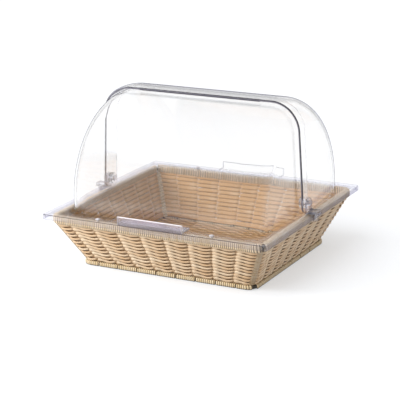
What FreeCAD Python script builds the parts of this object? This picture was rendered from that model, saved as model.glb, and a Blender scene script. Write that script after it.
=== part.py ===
import FreeCAD, Part
import math
import os

# Countertop bread display bin: a woven tray basket with a clear frame on its rim, and two clear
# quarter-round covers that roll over each other on one hinge line.
# Axes: X along the hinge line, -Y the serving side, Z up. The origin is on the surface that the
# bin stands on, under the middle of the basket. All sizes are in millimetres and degrees.

V = FreeCAD.Vector

# Clear frame on the basket rim
frame_length = 354.0            # along X, outside the skirt
frame_depth = 325.0             # along Y, outside the skirt
frame_top = 82.5                # upper face of the flange above the standing surface
frame_flange = 2.5
frame_skirt_height = 7.5        # from the flange's upper face down
frame_skirt_wall = 2.4
frame_corner_radius = 5.0
frame_edge_bevel = 0.7
frame_end_rail = 22.0           # flange from its outside to the opening, at both ends
frame_side_rail = 24.0          # the same at the serving side and the rear
frame_opening_radius = 25.0
frame_lip_wall = 2.0            # lip that centres the frame inside the basket rim
frame_lip_height = 7.0

# Basket
rim_inset = 7.0                 # wrapped rim inside the frame's outside, all round
rim_corner_radius = 16.0
rim_width = 10.0
rim_height = 11.0
end_flare = 30.0                # how far an end leans out from foot to rim
side_flare = 34.0               # how far the serving side and the rear lean out
foot_corner_radius = 16.0
foot_band_height = 9.0
foot_band_width = 8.0
foot_band_pitch = 31.5          # from one stake to the next along the foot band
foot_band_gap = 1.4             # open slit in the wrapping at each stake
band_chamfer = 2.6              # the wrapped bands' rounded edges
wall_thickness = 4.8            # woven wall behind the proud courses
course_count = 11               # weaver courses between foot band and rim
course_relief = 1.8             # how far a course stands proud of the wall
course_inner_relief = 0.8       # how far it bulges into the basket
stake_diameter = 2.4            # upright stakes inside the weave
stake_flats = 6                 # flats round a stake
post_diameter = 10.0            # wrapped corner posts
post_proud = 2.0                # how far a post stands out of the wall's corner
floor_thickness = 4.0
floor_lift = 2.5                # floor above the standing surface
floor_row_pitch = 5.4           # from one strand of the floor mat to the next
floor_relief = 1.2              # from a strand's top down to the crease beside it
hoop_diameter = 6.0             # steel hoops inside the rim and the foot band
rim_bare_shares = (0.5, 0.75)   # bare stretch of hoop, as shares of the arc of two opposite corners
foot_bare_shares = (0.47, 0.82)
touch_gap = 0.15                # between pieces that are bound together

# Covers
hinge_rise = 14.5               # hinge line above the flange
cover_foot_inset = 16.0         # rear cover's lowest edge inside the frame's outside
cover_end_inset = 13.25         # rear cover's end walls inside the frame's ends
cover_gap = 3.0                 # between the rear cover and the front one inside it
cover_wall = 3.0
cover_draft = 3.0               # lean of the end walls, degrees
cover_corner_radius = 44.0      # rear cover, between crown and end wall
cover_corner_bands = 5          # narrow bands that make up the corner's round
cover_hub_radius = 12.0         # flat round of each end wall at the hinge
cover_boss_radius = 8.0
cover_boss_height = 2.0         # on the front cover's inner face
cover_heel_step = 1.9           # how far the cut past the crown stays inside the heel's round
cover_foot_gap = 0.4            # between the flange and the covers' lower edges
cover_side_gap = 0.25           # between the hinge bosses
lip_inset = 66.75               # stiffening lip's ends inside the rear cover's end walls
lip_depth = 2.3
lip_width = 3.0

# Handles bonded to the covers' lower edges
handle_length = 102.0
handle_stand_off = 17.0         # handles' outer face beyond the rear cover
handle_plate = 2.8
handle_lip_wall = 3.4
handle_height = 12.0
handle_round = 1.0
grip_length = 48.0              # raised rib on the handle's outer face
grip_height = 2.4
grip_relief = 0.8

# Hinge brackets and pins
ear_thickness = 4.0
ear_gap = 0.4                   # between ear and rear cover
clip_width = 11.0
clip_height = 5.6
clip_overhang = 7.2             # clip's outer end beyond the frame's end
clip_hook_wall = 3.0
clip_gap = 0.2
clip_barb_height = 2.2
pin_radius = 3.0
pin_clearance = 0.05
pin_head_radius = 4.6
pin_head_height = 2.2
pin_head_gap = 0.2
pin_tail_height = 1.6

# Rivets that hold the frame to the rim
rivet_inset = 87.0              # from the frame's ends
rivet_head_radius = 3.6
rivet_head_height = 1.8
rivet_shank_radius = 1.5
rivet_shank_length = 4.6
button_sides = 12               # flats round a rivet's or a pin's head

overrun = 5.0                   # how far a cutting solid passes what it cuts

# Lengths, heights and places that follow from the sizes above
frame_opening_length = frame_length - 2 * frame_end_rail
frame_opening_depth = frame_depth - 2 * frame_side_rail
rim_length = frame_length - 2 * rim_inset
rim_depth = frame_depth - 2 * rim_inset
foot_length = rim_length - 2 * end_flare
foot_depth = rim_depth - 2 * side_flare
hinge_height = frame_top + hinge_rise
rear_cover_radius = frame_depth / 2 - cover_foot_inset
rear_cover_length = frame_length - 2 * cover_end_inset
lip_length = rear_cover_length - 2 * lip_inset
handle_reach = rear_cover_radius + handle_stand_off
clip_reach = frame_length / 2 + clip_overhang
rivet_x = frame_length / 2 - rivet_inset
rim_top = frame_top - frame_flange - touch_gap
rim_bottom = rim_top - rim_height
rim_middle = rim_top - rim_height / 2
wall_base = foot_band_height + touch_gap
wall_top = rim_bottom - touch_gap
cover_foot = frame_top + cover_foot_gap
heel_radius = hinge_height - cover_foot
cover_overlap = heel_radius - cover_heel_step
front_cover_radius = rear_cover_radius - cover_wall - cover_gap
front_cover_length = rear_cover_length - 2 * (cover_wall + cover_gap)
rivet_y = rim_depth / 2 - rim_width / 2
ear_inside = rear_cover_length / 2 + ear_gap
ear_outside = ear_inside + ear_thickness
hoop_radius = hoop_diameter / 2


def save(name, shape):
    """Write one sub-part as parts/NAME.step."""
    os.makedirs("parts", exist_ok=True)
    shape.exportStep("parts/" + name + ".step")


def arc(start, middle, end):
    """Arc edge through three points."""
    return Part.Arc(start, middle, end).toShape()


def line(start, end):
    """Straight edge."""
    return Part.LineSegment(start, end).toShape()


def block(low, high):
    """Box between its lowest and highest corner."""
    size = high - low
    return Part.makeBox(size.x, size.y, size.z, low)


def bar_x(radius, start, end):
    """Round bar on the hinge line between two stations along X."""
    return Part.makeCylinder(radius, end - start, V(start, 0, hinge_height), V(1, 0, 0))


def half_turn(shape):
    """Copy turned by half a turn about the vertical axis."""
    turned = shape.copy()
    turned.rotate(V(0, 0, 0), V(0, 0, 1), 180)
    return turned


def mirrored(shape, normal):
    """Copy mirrored in a plane through the origin."""
    return shape.mirror(V(0, 0, 0), normal)


# Rounded rectangles

def corner_arc(half_x, half_y, radius, sign_x, sign_y, z):
    """Quarter arc of a rounded rectangle, run anticlockwise."""
    centre = V(sign_x * (half_x - radius), sign_y * (half_y - radius), z)
    bow = radius * math.sqrt(0.5)
    on_x = centre + V(sign_x * radius, 0, 0)
    on_y = centre + V(0, sign_y * radius, 0)
    middle = centre + V(sign_x * bow, sign_y * bow, 0)
    if sign_x * sign_y > 0:
        return arc(on_x, middle, on_y)
    return arc(on_y, middle, on_x)


def corner_part(half_x, half_y, radius, sign_x, sign_y, z, shares):
    """Part of the same quarter arc, between two shares of it."""
    centre = V(sign_x * (half_x - radius), sign_y * (half_y - radius), z)
    first = math.atan2(sign_y, sign_x) - math.pi / 4
    points = []
    for share in (shares[0], (shares[0] + shares[1]) / 2, shares[1]):
        angle = first + share * math.pi / 2
        points.append(centre + V(radius * math.cos(angle), radius * math.sin(angle), 0))
    return arc(*points)


def rounded_wire(half_x, half_y, radius, z):
    """Closed rounded rectangle in a level plane."""
    edges = []
    arcs = [corner_arc(half_x, half_y, radius, *signs, z) for signs in ((1, 1), (-1, 1), (-1, -1), (1, -1))]
    previous = arcs[-1]
    for following in arcs:
        edges.append(line(previous.lastVertex(True).Point, following.firstVertex(True).Point))
        edges.append(following)
        previous = following
    return Part.Wire(edges)


def rounded_prism(half_x, half_y, radius, low, high):
    """Upright solid over a rounded rectangle."""
    face = Part.Face(rounded_wire(half_x, half_y, radius, low))
    return face.extrude(V(0, 0, high - low))


def loft_solid(wires):
    """Solid through level wires, straight from one wire to the next."""
    return Part.makeLoft(wires, True, True)


# Basket

def wall_outline(z, offset=0.0):
    """Outside of the woven wall at a height, moved outwards by an offset."""
    rise = (z - wall_base) / (wall_top - wall_base)
    inset_low = (foot_band_width - wall_thickness) / 2
    inset_high = (rim_width - wall_thickness) / 2
    low = V(foot_length / 2 - inset_low, foot_depth / 2 - inset_low, 0)
    high = V(rim_length / 2 - inset_high, rim_depth / 2 - inset_high, 0)
    half = low + (high - low) * rise
    radius = foot_corner_radius + rise * (rim_corner_radius - foot_corner_radius)
    return half.x + offset, half.y + offset, radius + offset


def wall_wire(z, offset=0.0):
    """Closed outline of the wall at a height, with two flats that meet behind each corner post."""
    half_x, half_y, radius = wall_outline(z, offset)
    points = []
    for quarter, (sign_x, sign_y) in enumerate(((1, 1), (-1, 1), (-1, -1), (1, -1))):
        centre = V(sign_x * (half_x - radius), sign_y * (half_y - radius), z)
        for step in range(3):
            angle = math.pi / 2 * (quarter + step / 2)
            points.append(centre + V(radius * math.cos(angle), radius * math.sin(angle), 0))
    return Part.makePolygon(points + points[:1])


def post_centre(z, sign_x, sign_y):
    """Middle of a corner post at a height, on the corner's diagonal."""
    half_x, half_y, radius = wall_outline(z)
    reach = (radius + post_proud - post_diameter / 2) * math.sqrt(0.5)
    return V(sign_x * (half_x - radius + reach), sign_y * (half_y - radius + reach), z)


def many_sided(centre, radius, first, second, count=8):
    """Section of a strand, rod or button with flats that touch a circle from outside."""
    points = []
    reach = radius / math.cos(math.pi / count)
    for index in range(count):
        angle = 2 * math.pi * (index + 0.5) / count
        points.append(centre + first * (reach * math.cos(angle)) + second * (reach * math.sin(angle)))
    return Part.makePolygon(points + points[:1])


def corner_post(sign_x, sign_y, extra=0.0):
    """Wrapped post that leans along one corner of the wall."""
    sections = []
    for z in (wall_base, wall_top):
        centre = post_centre(z, sign_x, sign_y)
        sections.append(many_sided(centre, post_diameter / 2 + extra, V(1, 0, 0), V(0, 1, 0)))
    return loft_solid(sections)


def corner_signs():
    """The four corners as pairs of signs."""
    return [(sx, sy) for sx in (-1, 1) for sy in (-1, 1)]


def make_wall():
    """Flared woven wall, bulging inwards at each course, with room for the corner posts and the stakes."""
    outside = loft_solid([wall_wire(wall_base), wall_wire(wall_top)])
    pitch = (wall_top - wall_base) / course_count
    wires = [wall_wire(wall_base, -wall_thickness)]
    for index in range(course_count):
        middle = wall_base + (index + 0.5) * pitch
        wires.append(wall_wire(middle, -wall_thickness - course_inner_relief))
        wires.append(wall_wire(middle + pitch / 2, -wall_thickness))
    posts = [corner_post(sx, sy, touch_gap) for sx, sy in corner_signs()]
    return outside.cut(loft_solid(wires)).cut(posts).cut(stake_rods(touch_gap))


def make_courses():
    """Weaver courses, one band per course and side, each rounded outwards like its strand."""
    posts = [corner_post(sx, sy, touch_gap) for sx, sy in corner_signs()]
    pitch = (wall_top - wall_base) / course_count
    bands = []
    for index in range(course_count):
        low = wall_base + index * pitch + touch_gap
        high = wall_base + (index + 1) * pitch - touch_gap
        middle = (low + high) / 2
        outside = loft_solid([wall_wire(low), wall_wire(middle, course_relief), wall_wire(high)])
        core = loft_solid([wall_wire(low), wall_wire(high)])
        bands.extend(outside.cut(core).cut(posts).Solids)
    return Part.makeCompound(bands)


def stake_places(length):
    """Stations of the stakes along one side, spread evenly about its middle."""
    count = round((length - 2 * foot_corner_radius) / foot_band_pitch)
    return [(index - (count - 1) / 2) * foot_band_pitch for index in range(count)]


def stake_rods(extra=0.0):
    """Upright stakes in the middle of the wall's thickness, fanning out towards the rim."""
    radius = stake_diameter / 2 + extra
    depth = -wall_thickness / 2
    low_x, low_y, _ = wall_outline(wall_base, depth)
    high_x, high_y, _ = wall_outline(wall_top, depth)
    rods = []
    for place in stake_places(foot_length):
        spread = place * high_x / low_x
        for side in (-1, 1):
            start = V(place, side * low_y, wall_base)
            rods.append((start, V(spread, side * high_y, wall_top)))
    for place in stake_places(foot_depth):
        spread = place * high_y / low_y
        for side in (-1, 1):
            start = V(side * low_x, place, wall_base)
            rods.append((start, V(side * high_x, spread, wall_top)))
    solids = []
    for start, end in rods:
        sections = [many_sided(point, radius, V(1, 0, 0), V(0, 1, 0), stake_flats) for point in (start, end)]
        solids.append(loft_solid(sections))
    return solids


def make_floor():
    """Woven floor mat inside the foot band, one ridge to each strand along X."""
    inset = foot_band_width + touch_gap
    radius = foot_corner_radius - foot_band_width
    half_x = foot_length / 2 - inset
    half_y = foot_depth / 2 - inset
    top = floor_lift + floor_thickness
    rows = round(2 * half_y / floor_row_pitch)
    pitch = 2 * half_y / rows
    points = [V(-half_x, half_y, floor_lift), V(-half_x, -half_y, floor_lift)]
    for row in range(rows):
        crease = -half_y + row * pitch
        points.append(V(-half_x, crease, top - floor_relief))
        points.append(V(-half_x, crease + pitch / 2, top))
    points.append(V(-half_x, half_y, top - floor_relief))
    ridges = Part.Face(Part.makePolygon(points + points[:1])).extrude(V(2 * half_x, 0, 0))
    return rounded_prism(half_x, half_y, radius, floor_lift, top).common(ridges)


# Wrapped bands and their steel hoops

def band_section(centre, outward, width, height):
    """Eight-sided section of a wrapped band: a rectangle with its edges taken off."""
    half_w = width / 2
    half_h = height / 2
    cut_w = half_w - band_chamfer
    cut_h = half_h - band_chamfer
    pairs = [
        (half_w, -cut_h), (half_w, cut_h), (cut_w, half_h), (-cut_w, half_h),
        (-half_w, cut_h), (-half_w, -cut_h), (-cut_w, -half_h), (cut_w, -half_h),
    ]
    points = [centre + outward * across + V(0, 0, up) for across, up in pairs]
    return Part.makePolygon(points + points[:1])


def band_along(edges, width, height):
    """Wrapped band along a level path of joined edges."""
    start = edges[0].firstVertex(True).Point
    along = edges[0].tangentAt(edges[0].FirstParameter)
    section = band_section(start, along.cross(V(0, 0, 1)), width, height)
    return Part.Wire(edges).makePipe(Part.Face(section))


def hoop(length, depth, corner, width, z, radius):
    """Closed rod along the middle of a band."""
    half_x = length / 2 - width / 2
    half_y = depth / 2 - width / 2
    path = rounded_wire(half_x, half_y, corner - width / 2, z)
    start = path.Edges[0].firstVertex(True).Point
    along = path.Edges[0].tangentAt(path.Edges[0].FirstParameter)
    section = many_sided(start, radius, along.cross(V(0, 0, 1)), V(0, 0, 1))
    return path.makePipe(Part.Face(section))


def rim_hoop_solid(extra=0.0):
    """Steel hoop inside the rim."""
    return hoop(rim_length, rim_depth, rim_corner_radius, rim_width, rim_middle, hoop_radius + extra)


def foot_hoop_solid(extra=0.0):
    """Steel hoop inside the foot band."""
    return hoop(foot_length, foot_depth, foot_corner_radius, foot_band_width, foot_band_height / 2,
                hoop_radius + extra)


def rivet_places():
    """The four rivets in the flange, over the rim."""
    return [V(sx * rivet_x, sy * rivet_y, frame_top) for sx, sy in corner_signs()]


def make_rim_wrap():
    """Wrapping of the serving side and the left side, up to the bare stretches of two opposite corners."""
    half_x = rim_length / 2 - rim_width / 2
    half_y = rim_depth / 2 - rim_width / 2
    radius = rim_corner_radius - rim_width / 2
    z = rim_middle
    right_end = corner_part(half_x, half_y, radius, 1, -1, z, (0, rim_bare_shares[0]))
    near = corner_arc(half_x, half_y, radius, -1, -1, z)
    rear_end = corner_part(half_x, half_y, radius, -1, 1, z, (rim_bare_shares[1], 1))
    front = line(V(-(half_x - radius), -half_y, z), V(half_x - radius, -half_y, z))
    left = line(V(-half_x, half_y - radius, z), V(-half_x, -(half_y - radius), z))
    wrap = band_along([rear_end, left, near, front, right_end], rim_width, rim_height)
    wrap = wrap.cut(rim_hoop_solid(touch_gap))
    shanks = []
    for place in rivet_places():
        depth = V(0, 0, rivet_shank_length + touch_gap)
        shanks.append(Part.makeCylinder(rivet_shank_radius + pin_clearance, depth.z, place - depth))
    return wrap.cut(shanks)


def straight_wrap(start, end, outward):
    """One straight piece of foot band wrapping."""
    section = band_section(start, outward, foot_band_width, foot_band_height)
    return Part.Face(section).extrude(end - start)


def make_foot_wraps(along_x):
    """Foot band wrapping of one long or short side, slit at every stake."""
    half_x = foot_length / 2 - foot_band_width / 2
    half_y = foot_depth / 2 - foot_band_width / 2
    radius = foot_corner_radius - foot_band_width / 2
    z = foot_band_height / 2
    places = stake_places(foot_length if along_x else foot_depth)
    slit = foot_band_gap / 2
    pieces = []
    for left, right in zip(places[:-1], places[1:]):
        if along_x:
            start, end = V(left + slit, -half_y, z), V(right - slit, -half_y, z)
            pieces.append(straight_wrap(start, end, V(0, -1, 0)))
        else:
            start, end = V(-half_x, left + slit, z), V(-half_x, right - slit, z)
            pieces.append(straight_wrap(start, end, V(-1, 0, 0)))
    if along_x:
        run = line(V(places[-1] + slit, -half_y, z), V(half_x - radius, -half_y, z))
        bend = corner_part(half_x, half_y, radius, 1, -1, z, (0, foot_bare_shares[0]))
        pieces.append(band_along([run, bend], foot_band_width, foot_band_height))
    else:
        bend = corner_part(half_x, half_y, radius, -1, 1, z, (foot_bare_shares[1], 1))
        run = line(V(-half_x, half_y - radius, z), V(-half_x, places[-1] + slit, z))
        pieces.append(band_along([bend, run], foot_band_width, foot_band_height))
        front_end = V(stake_places(foot_length)[0] - slit, -half_y, z)
        bend = corner_arc(half_x, half_y, radius, -1, -1, z)
        turn_in = V(-(half_x - radius), -half_y, z)
        turn_out = V(-half_x, -(half_y - radius), z)
        side_end = V(-half_x, places[0] - slit, z)
        corner = [line(side_end, turn_out), bend, line(turn_in, front_end)]
        pieces.append(band_along(corner, foot_band_width, foot_band_height))
    tunnel = foot_hoop_solid(touch_gap)
    return Part.makeCompound([piece.cut(tunnel) for piece in pieces])


# Clear frame

def make_frame():
    """Flange with a down-turned skirt, a rounded opening and a centring lip under it."""
    half_x = frame_length / 2
    half_y = frame_depth / 2
    opening_x = frame_opening_length / 2
    opening_y = frame_opening_depth / 2
    skirt_bottom = frame_top - frame_skirt_height
    flange_bottom = frame_top - frame_flange
    outer = rounded_prism(half_x, half_y, frame_corner_radius, skirt_bottom, frame_top)
    top_edges = [edge for edge in outer.Edges if edge.BoundBox.ZMin > frame_top - touch_gap]
    outer = outer.makeChamfer(frame_edge_bevel, top_edges)
    hollow = rounded_prism(
        half_x - frame_skirt_wall, half_y - frame_skirt_wall, frame_corner_radius - frame_skirt_wall,
        skirt_bottom - overrun, flange_bottom)
    lip = rounded_prism(
        opening_x + frame_lip_wall, opening_y + frame_lip_wall, frame_opening_radius + frame_lip_wall,
        flange_bottom - frame_lip_height, flange_bottom)
    opening = rounded_prism(opening_x, opening_y, frame_opening_radius,
                            flange_bottom - frame_lip_height - overrun, frame_top + overrun)
    frame = outer.cut(hollow).fuse(lip).cut(opening)
    for place in rivet_places():
        bore = Part.makeCylinder(rivet_shank_radius + pin_clearance, frame_flange + 2 * overrun,
                                 place - V(0, 0, frame_flange + overrun))
        frame = frame.cut(bore)
    return frame.removeSplitter()


def button(radius, height, place, direction):
    """Flat head standing on a face."""
    first = direction.cross(V(0, 1, 0))
    outline = many_sided(place, radius, first, direction.cross(first), button_sides)
    return Part.Face(outline).extrude(direction * height)


def make_rivet(place):
    """Snap rivet with a flat head on the flange."""
    shank = Part.makeCylinder(rivet_shank_radius, rivet_shank_length + rivet_head_height / 2,
                              place - V(0, 0, rivet_shank_length))
    return shank.fuse(button(rivet_head_radius, rivet_head_height, place, V(0, 0, 1))).removeSplitter()


# Covers

def cover_half_profile(length, radius, corner):
    """Points of a cover's profile from the hinge line to the crown, on the left half."""
    lean = math.radians(cover_draft)
    arc_level = radius - corner
    wall_at_arc = -length / 2 + (arc_level - cover_hub_radius) * math.tan(lean)
    centre = V(wall_at_arc + corner / math.cos(lean), 0, arc_level)
    half_angle = (math.pi - lean + math.pi / 2) / 2
    hub = V(-length / 2, 0, cover_hub_radius)
    wall_end = centre + V(-corner * math.cos(lean), 0, corner * math.sin(lean))
    bow = centre + V(corner * math.cos(half_angle), 0, corner * math.sin(half_angle))
    crown = centre + V(0, 0, corner)
    return V(-length / 2, 0, 0), hub, wall_end, bow, crown


def cover_body(length, radius, corner):
    """Solid of revolution inside a cover's outline, its corner rounds in narrow bands."""
    axis, hub, wall_end, bow, crown = cover_half_profile(length, radius, corner)
    points = arc(wall_end, bow, crown).discretize(cover_corner_bands + 1)
    bend = [line(first, second) for first, second in zip(points[:-1], points[1:])]
    half = [line(axis, hub), line(hub, wall_end)] + bend
    across = [edge.mirror(V(0, 0, 0), V(1, 0, 0)) for edge in half]
    middle = [line(crown, V(-crown.x, 0, crown.z)), line(V(-axis.x, 0, 0), axis)]
    outline = Part.Wire(Part.__sortEdges__(half + middle + across))
    body = Part.Face(outline).revolve(V(0, 0, 0), V(1, 0, 0), 360)
    body.translate(V(0, 0, hinge_height))
    return body


def serving_side_outline(radius, length):
    """Prism along X that keeps the serving side's quarter, with a round heel at the hinge."""
    far = radius + overrun
    heel_level = -math.sqrt(heel_radius ** 2 - cover_overlap ** 2)
    heel_angle = (-math.pi / 2 + math.atan2(heel_level, cover_overlap)) / 2
    x = -length / 2 - overrun
    start = V(x, -far, -heel_radius)
    low = V(x, 0, -heel_radius)
    bow = V(x, heel_radius * math.cos(heel_angle), heel_radius * math.sin(heel_angle))
    heel = V(x, cover_overlap, heel_level)
    top = V(x, cover_overlap, far)
    corner = V(x, -far, far)
    edges = [line(start, low), arc(low, bow, heel), line(heel, top), line(top, corner), line(corner, start)]
    prism = Part.Face(Part.Wire(edges)).extrude(V(length + 2 * overrun, 0, 0))
    prism.translate(V(0, 0, hinge_height))
    return prism


def cover_shell(length, radius, corner, boss_height):
    """Thin quarter-round cover of the serving side, with bosses inside and bored for the pins."""
    outer = cover_body(length, radius, corner)
    inner = cover_body(length - 2 * cover_wall, radius - cover_wall, corner - cover_wall)
    shell = outer.cut(inner).common(serving_side_outline(radius, length))
    inside = length / 2 - cover_wall
    for side in (-1, 1):
        end_1, end_2 = sorted((side * inside, side * (inside - boss_height)))
        shell = shell.fuse(bar_x(cover_boss_radius, end_1, end_2))
    return shell.cut(bar_x(pin_radius + pin_clearance, -length, length)).removeSplitter()


def make_front_cover():
    """Serving-side cover, the inner one of the two."""
    return cover_shell(front_cover_length, front_cover_radius,
                       cover_corner_radius - cover_wall - cover_gap, cover_boss_height)


def make_rear_cover():
    """Rear cover, the outer one, with a stiffening lip under its leading edge."""
    shell = cover_shell(rear_cover_length, rear_cover_radius, cover_corner_radius,
                        cover_gap - cover_side_gap)
    inner_radius = rear_cover_radius - cover_wall
    half_lip = lip_length / 2
    ring = bar_x(inner_radius + cover_wall / 2, -half_lip, half_lip)
    ring = ring.cut(bar_x(inner_radius - lip_depth, -half_lip - overrun, half_lip + overrun))
    keep = block(V(-half_lip, cover_overlap - lip_width, hinge_height),
                 V(half_lip, cover_overlap, hinge_height + rear_cover_radius))
    return mirrored(shell.fuse(ring.common(keep)).removeSplitter(), V(0, 1, 0))


def make_handle(radius):
    """Handle of the serving side: plate on the cover's lower edge, with an upright lip and a rib."""
    half = handle_length / 2
    plate = block(V(-half, -handle_reach, cover_foot), V(half, 0, cover_foot + handle_plate))
    lip = block(V(-half, -handle_reach, cover_foot),
                V(half, -handle_reach + handle_lip_wall, cover_foot + handle_height))
    handle = plate.fuse(lip).removeSplitter()
    outer_edges = []
    for edge in handle.Edges:
        box = edge.BoundBox
        if box.YMax < -handle_reach + handle_lip_wall + touch_gap and box.ZMin > cover_foot + handle_plate:
            outer_edges.append(edge)
    handle = handle.makeFillet(handle_round, outer_edges)
    middle = cover_foot + handle_height - handle_round - grip_height
    rib = block(V(-grip_length / 2, -handle_reach - grip_relief, middle),
                V(grip_length / 2, -handle_reach + handle_lip_wall / 2, middle + grip_height))
    return handle.fuse(rib).cut(bar_x(radius, -frame_length, frame_length)).removeSplitter()


# Hinge hardware, on the right-hand end

def make_bracket():
    """Clear bracket: a rounded ear for the pin and a clip that hooks under the frame's skirt."""
    ear_radius = hinge_height - frame_top
    upright = bar_x(cover_boss_radius, ear_inside, ear_outside)
    web = block(V(ear_inside, -cover_boss_radius, frame_top), V(ear_outside, cover_boss_radius, hinge_height))
    half = clip_width / 2
    arm = block(V(ear_inside, -half, frame_top), V(clip_reach, half, frame_top + clip_height))
    hook_inside = frame_length / 2 + clip_gap
    skirt_bottom = frame_top - frame_skirt_height
    hook = block(V(hook_inside, -half, skirt_bottom - clip_gap - clip_barb_height),
                 V(hook_inside + clip_hook_wall, half, frame_top))
    barb = block(V(hook_inside - frame_skirt_wall, -half, skirt_bottom - clip_gap - clip_barb_height),
                 V(hook_inside, half, skirt_bottom - clip_gap))
    gusset_points = [
        V(ear_outside, 0, frame_top + clip_height),
        V(ear_outside + ear_radius / 2, 0, frame_top + clip_height),
        V(ear_outside, 0, hinge_height - pin_head_radius),
    ]
    gusset = Part.Face(Part.makePolygon(gusset_points + gusset_points[:1])).extrude(V(0, ear_thickness / 2, 0))
    gusset.translate(V(0, -ear_thickness / 4, 0))
    bracket = upright.fuse([web, arm, hook, barb, gusset])
    return bracket.cut(bar_x(pin_radius + pin_clearance, 0, clip_reach)).removeSplitter()


def make_pin():
    """Hinge pin with a flat head inside the covers and a riveted tail outside the ear."""
    head_face = front_cover_length / 2 - cover_wall - cover_boss_height - pin_head_gap
    tail_face = ear_outside + pin_clearance
    shaft = bar_x(pin_radius, head_face - pin_head_height / 2, tail_face + pin_tail_height / 2)
    head = button(pin_head_radius, pin_head_height, V(head_face, 0, hinge_height), V(-1, 0, 0))
    tail = button(pin_head_radius, pin_tail_height, V(tail_face, 0, hinge_height), V(1, 0, 0))
    return shaft.fuse([head, tail]).removeSplitter()


def main():
    """Make every sub-part and write it."""
    save("basket_wall", make_wall())
    save("basket_courses", make_courses())
    save("basket_stakes", Part.makeCompound(stake_rods()))
    save("basket_floor", make_floor())
    for sign_x, side in ((-1, "left"), (1, "right")):
        for sign_y, end in ((-1, "front"), (1, "rear")):
            save("corner_post_" + end + "_" + side, corner_post(sign_x, sign_y))
    save("rim_hoop", rim_hoop_solid())
    save("foot_hoop", foot_hoop_solid())
    rim_wrap = make_rim_wrap()
    save("rim_wrap_front_left", rim_wrap)
    save("rim_wrap_rear_right", half_turn(rim_wrap))
    front_wraps = make_foot_wraps(True)
    left_wraps = make_foot_wraps(False)
    save("foot_wraps_front", front_wraps)
    save("foot_wraps_rear", half_turn(front_wraps))
    save("foot_wraps_left", left_wraps)
    save("foot_wraps_right", half_turn(left_wraps))
    save("clear_frame", make_frame())
    for place in rivet_places():
        end = "front" if place.y < 0 else "rear"
        side = "left" if place.x < 0 else "right"
        save("frame_rivet_" + end + "_" + side, make_rivet(place))
    bracket = make_bracket()
    save("hinge_bracket_right", bracket)
    save("hinge_bracket_left", mirrored(bracket, V(1, 0, 0)))
    pin = make_pin()
    save("hinge_pin_right", pin)
    save("hinge_pin_left", mirrored(pin, V(1, 0, 0)))
    save("front_cover", make_front_cover())
    save("rear_cover", make_rear_cover())
    save("front_handle", make_handle(front_cover_radius))
    save("rear_handle", mirrored(make_handle(rear_cover_radius), V(0, 1, 0)))


main()
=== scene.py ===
"""Looks of the countertop bread display bin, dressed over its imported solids.

Axes as in the solids: X along the hinge line, -Y the serving side, Z up. Sizes below are in millimetres and turn to
metres only where a mesh is made.
"""

import logging
import math
from dataclasses import dataclass, field
from enum import Enum

import bmesh
import bpy
import numpy as np
from mathutils import Matrix, Vector


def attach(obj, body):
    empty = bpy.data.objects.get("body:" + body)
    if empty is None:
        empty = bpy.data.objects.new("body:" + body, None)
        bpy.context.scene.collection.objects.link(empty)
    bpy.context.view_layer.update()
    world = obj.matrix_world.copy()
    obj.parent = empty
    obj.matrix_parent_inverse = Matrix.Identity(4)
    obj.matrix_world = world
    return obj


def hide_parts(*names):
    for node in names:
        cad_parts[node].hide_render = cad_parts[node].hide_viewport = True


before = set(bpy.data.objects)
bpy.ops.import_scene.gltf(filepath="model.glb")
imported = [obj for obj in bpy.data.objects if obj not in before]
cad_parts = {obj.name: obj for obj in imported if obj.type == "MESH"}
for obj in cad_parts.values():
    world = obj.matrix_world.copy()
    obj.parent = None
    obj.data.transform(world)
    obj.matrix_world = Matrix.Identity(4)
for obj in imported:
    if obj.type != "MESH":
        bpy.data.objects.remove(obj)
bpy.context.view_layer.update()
LOG = logging.getLogger("bread_bin")
MM = 0.001
WELD = 2e-6
X, Y, Z = np.eye(3)


# Numbers

def linear(hex_colour: str) -> tuple[float, float, float, float]:
    """Turns an sRGB hex colour to linear light.

    Args:
        hex_colour: Six hex digits.

    Returns:
        Red, green, blue and an alpha of 1.
    """
    channels = [int(hex_colour[i:i + 2], 16) / 255 for i in (0, 2, 4)]
    return (*[c / 12.92 if c <= 0.04045 else ((c + 0.055) / 1.055) ** 2.4 for c in channels], 1.0)


def unit(vectors: np.ndarray) -> np.ndarray:
    """Scales each vector of an array to length 1."""
    return vectors / np.maximum(np.linalg.norm(vectors, axis=-1, keepdims=True), 1e-12)


def blend(low: np.ndarray | float, high: np.ndarray | float, share: np.ndarray | float) -> np.ndarray:
    """Value between low at share 0 and high at share 1."""
    return low + (high - low) * share


def groove_profile(turn: np.ndarray) -> np.ndarray:
    """Half circle over each whole turn: 0 at its middle, -1 where two turns meet."""
    return np.sqrt(np.maximum(1 - (2 * np.mod(turn, 1) - 1) ** 2, 0)) - 1


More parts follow.
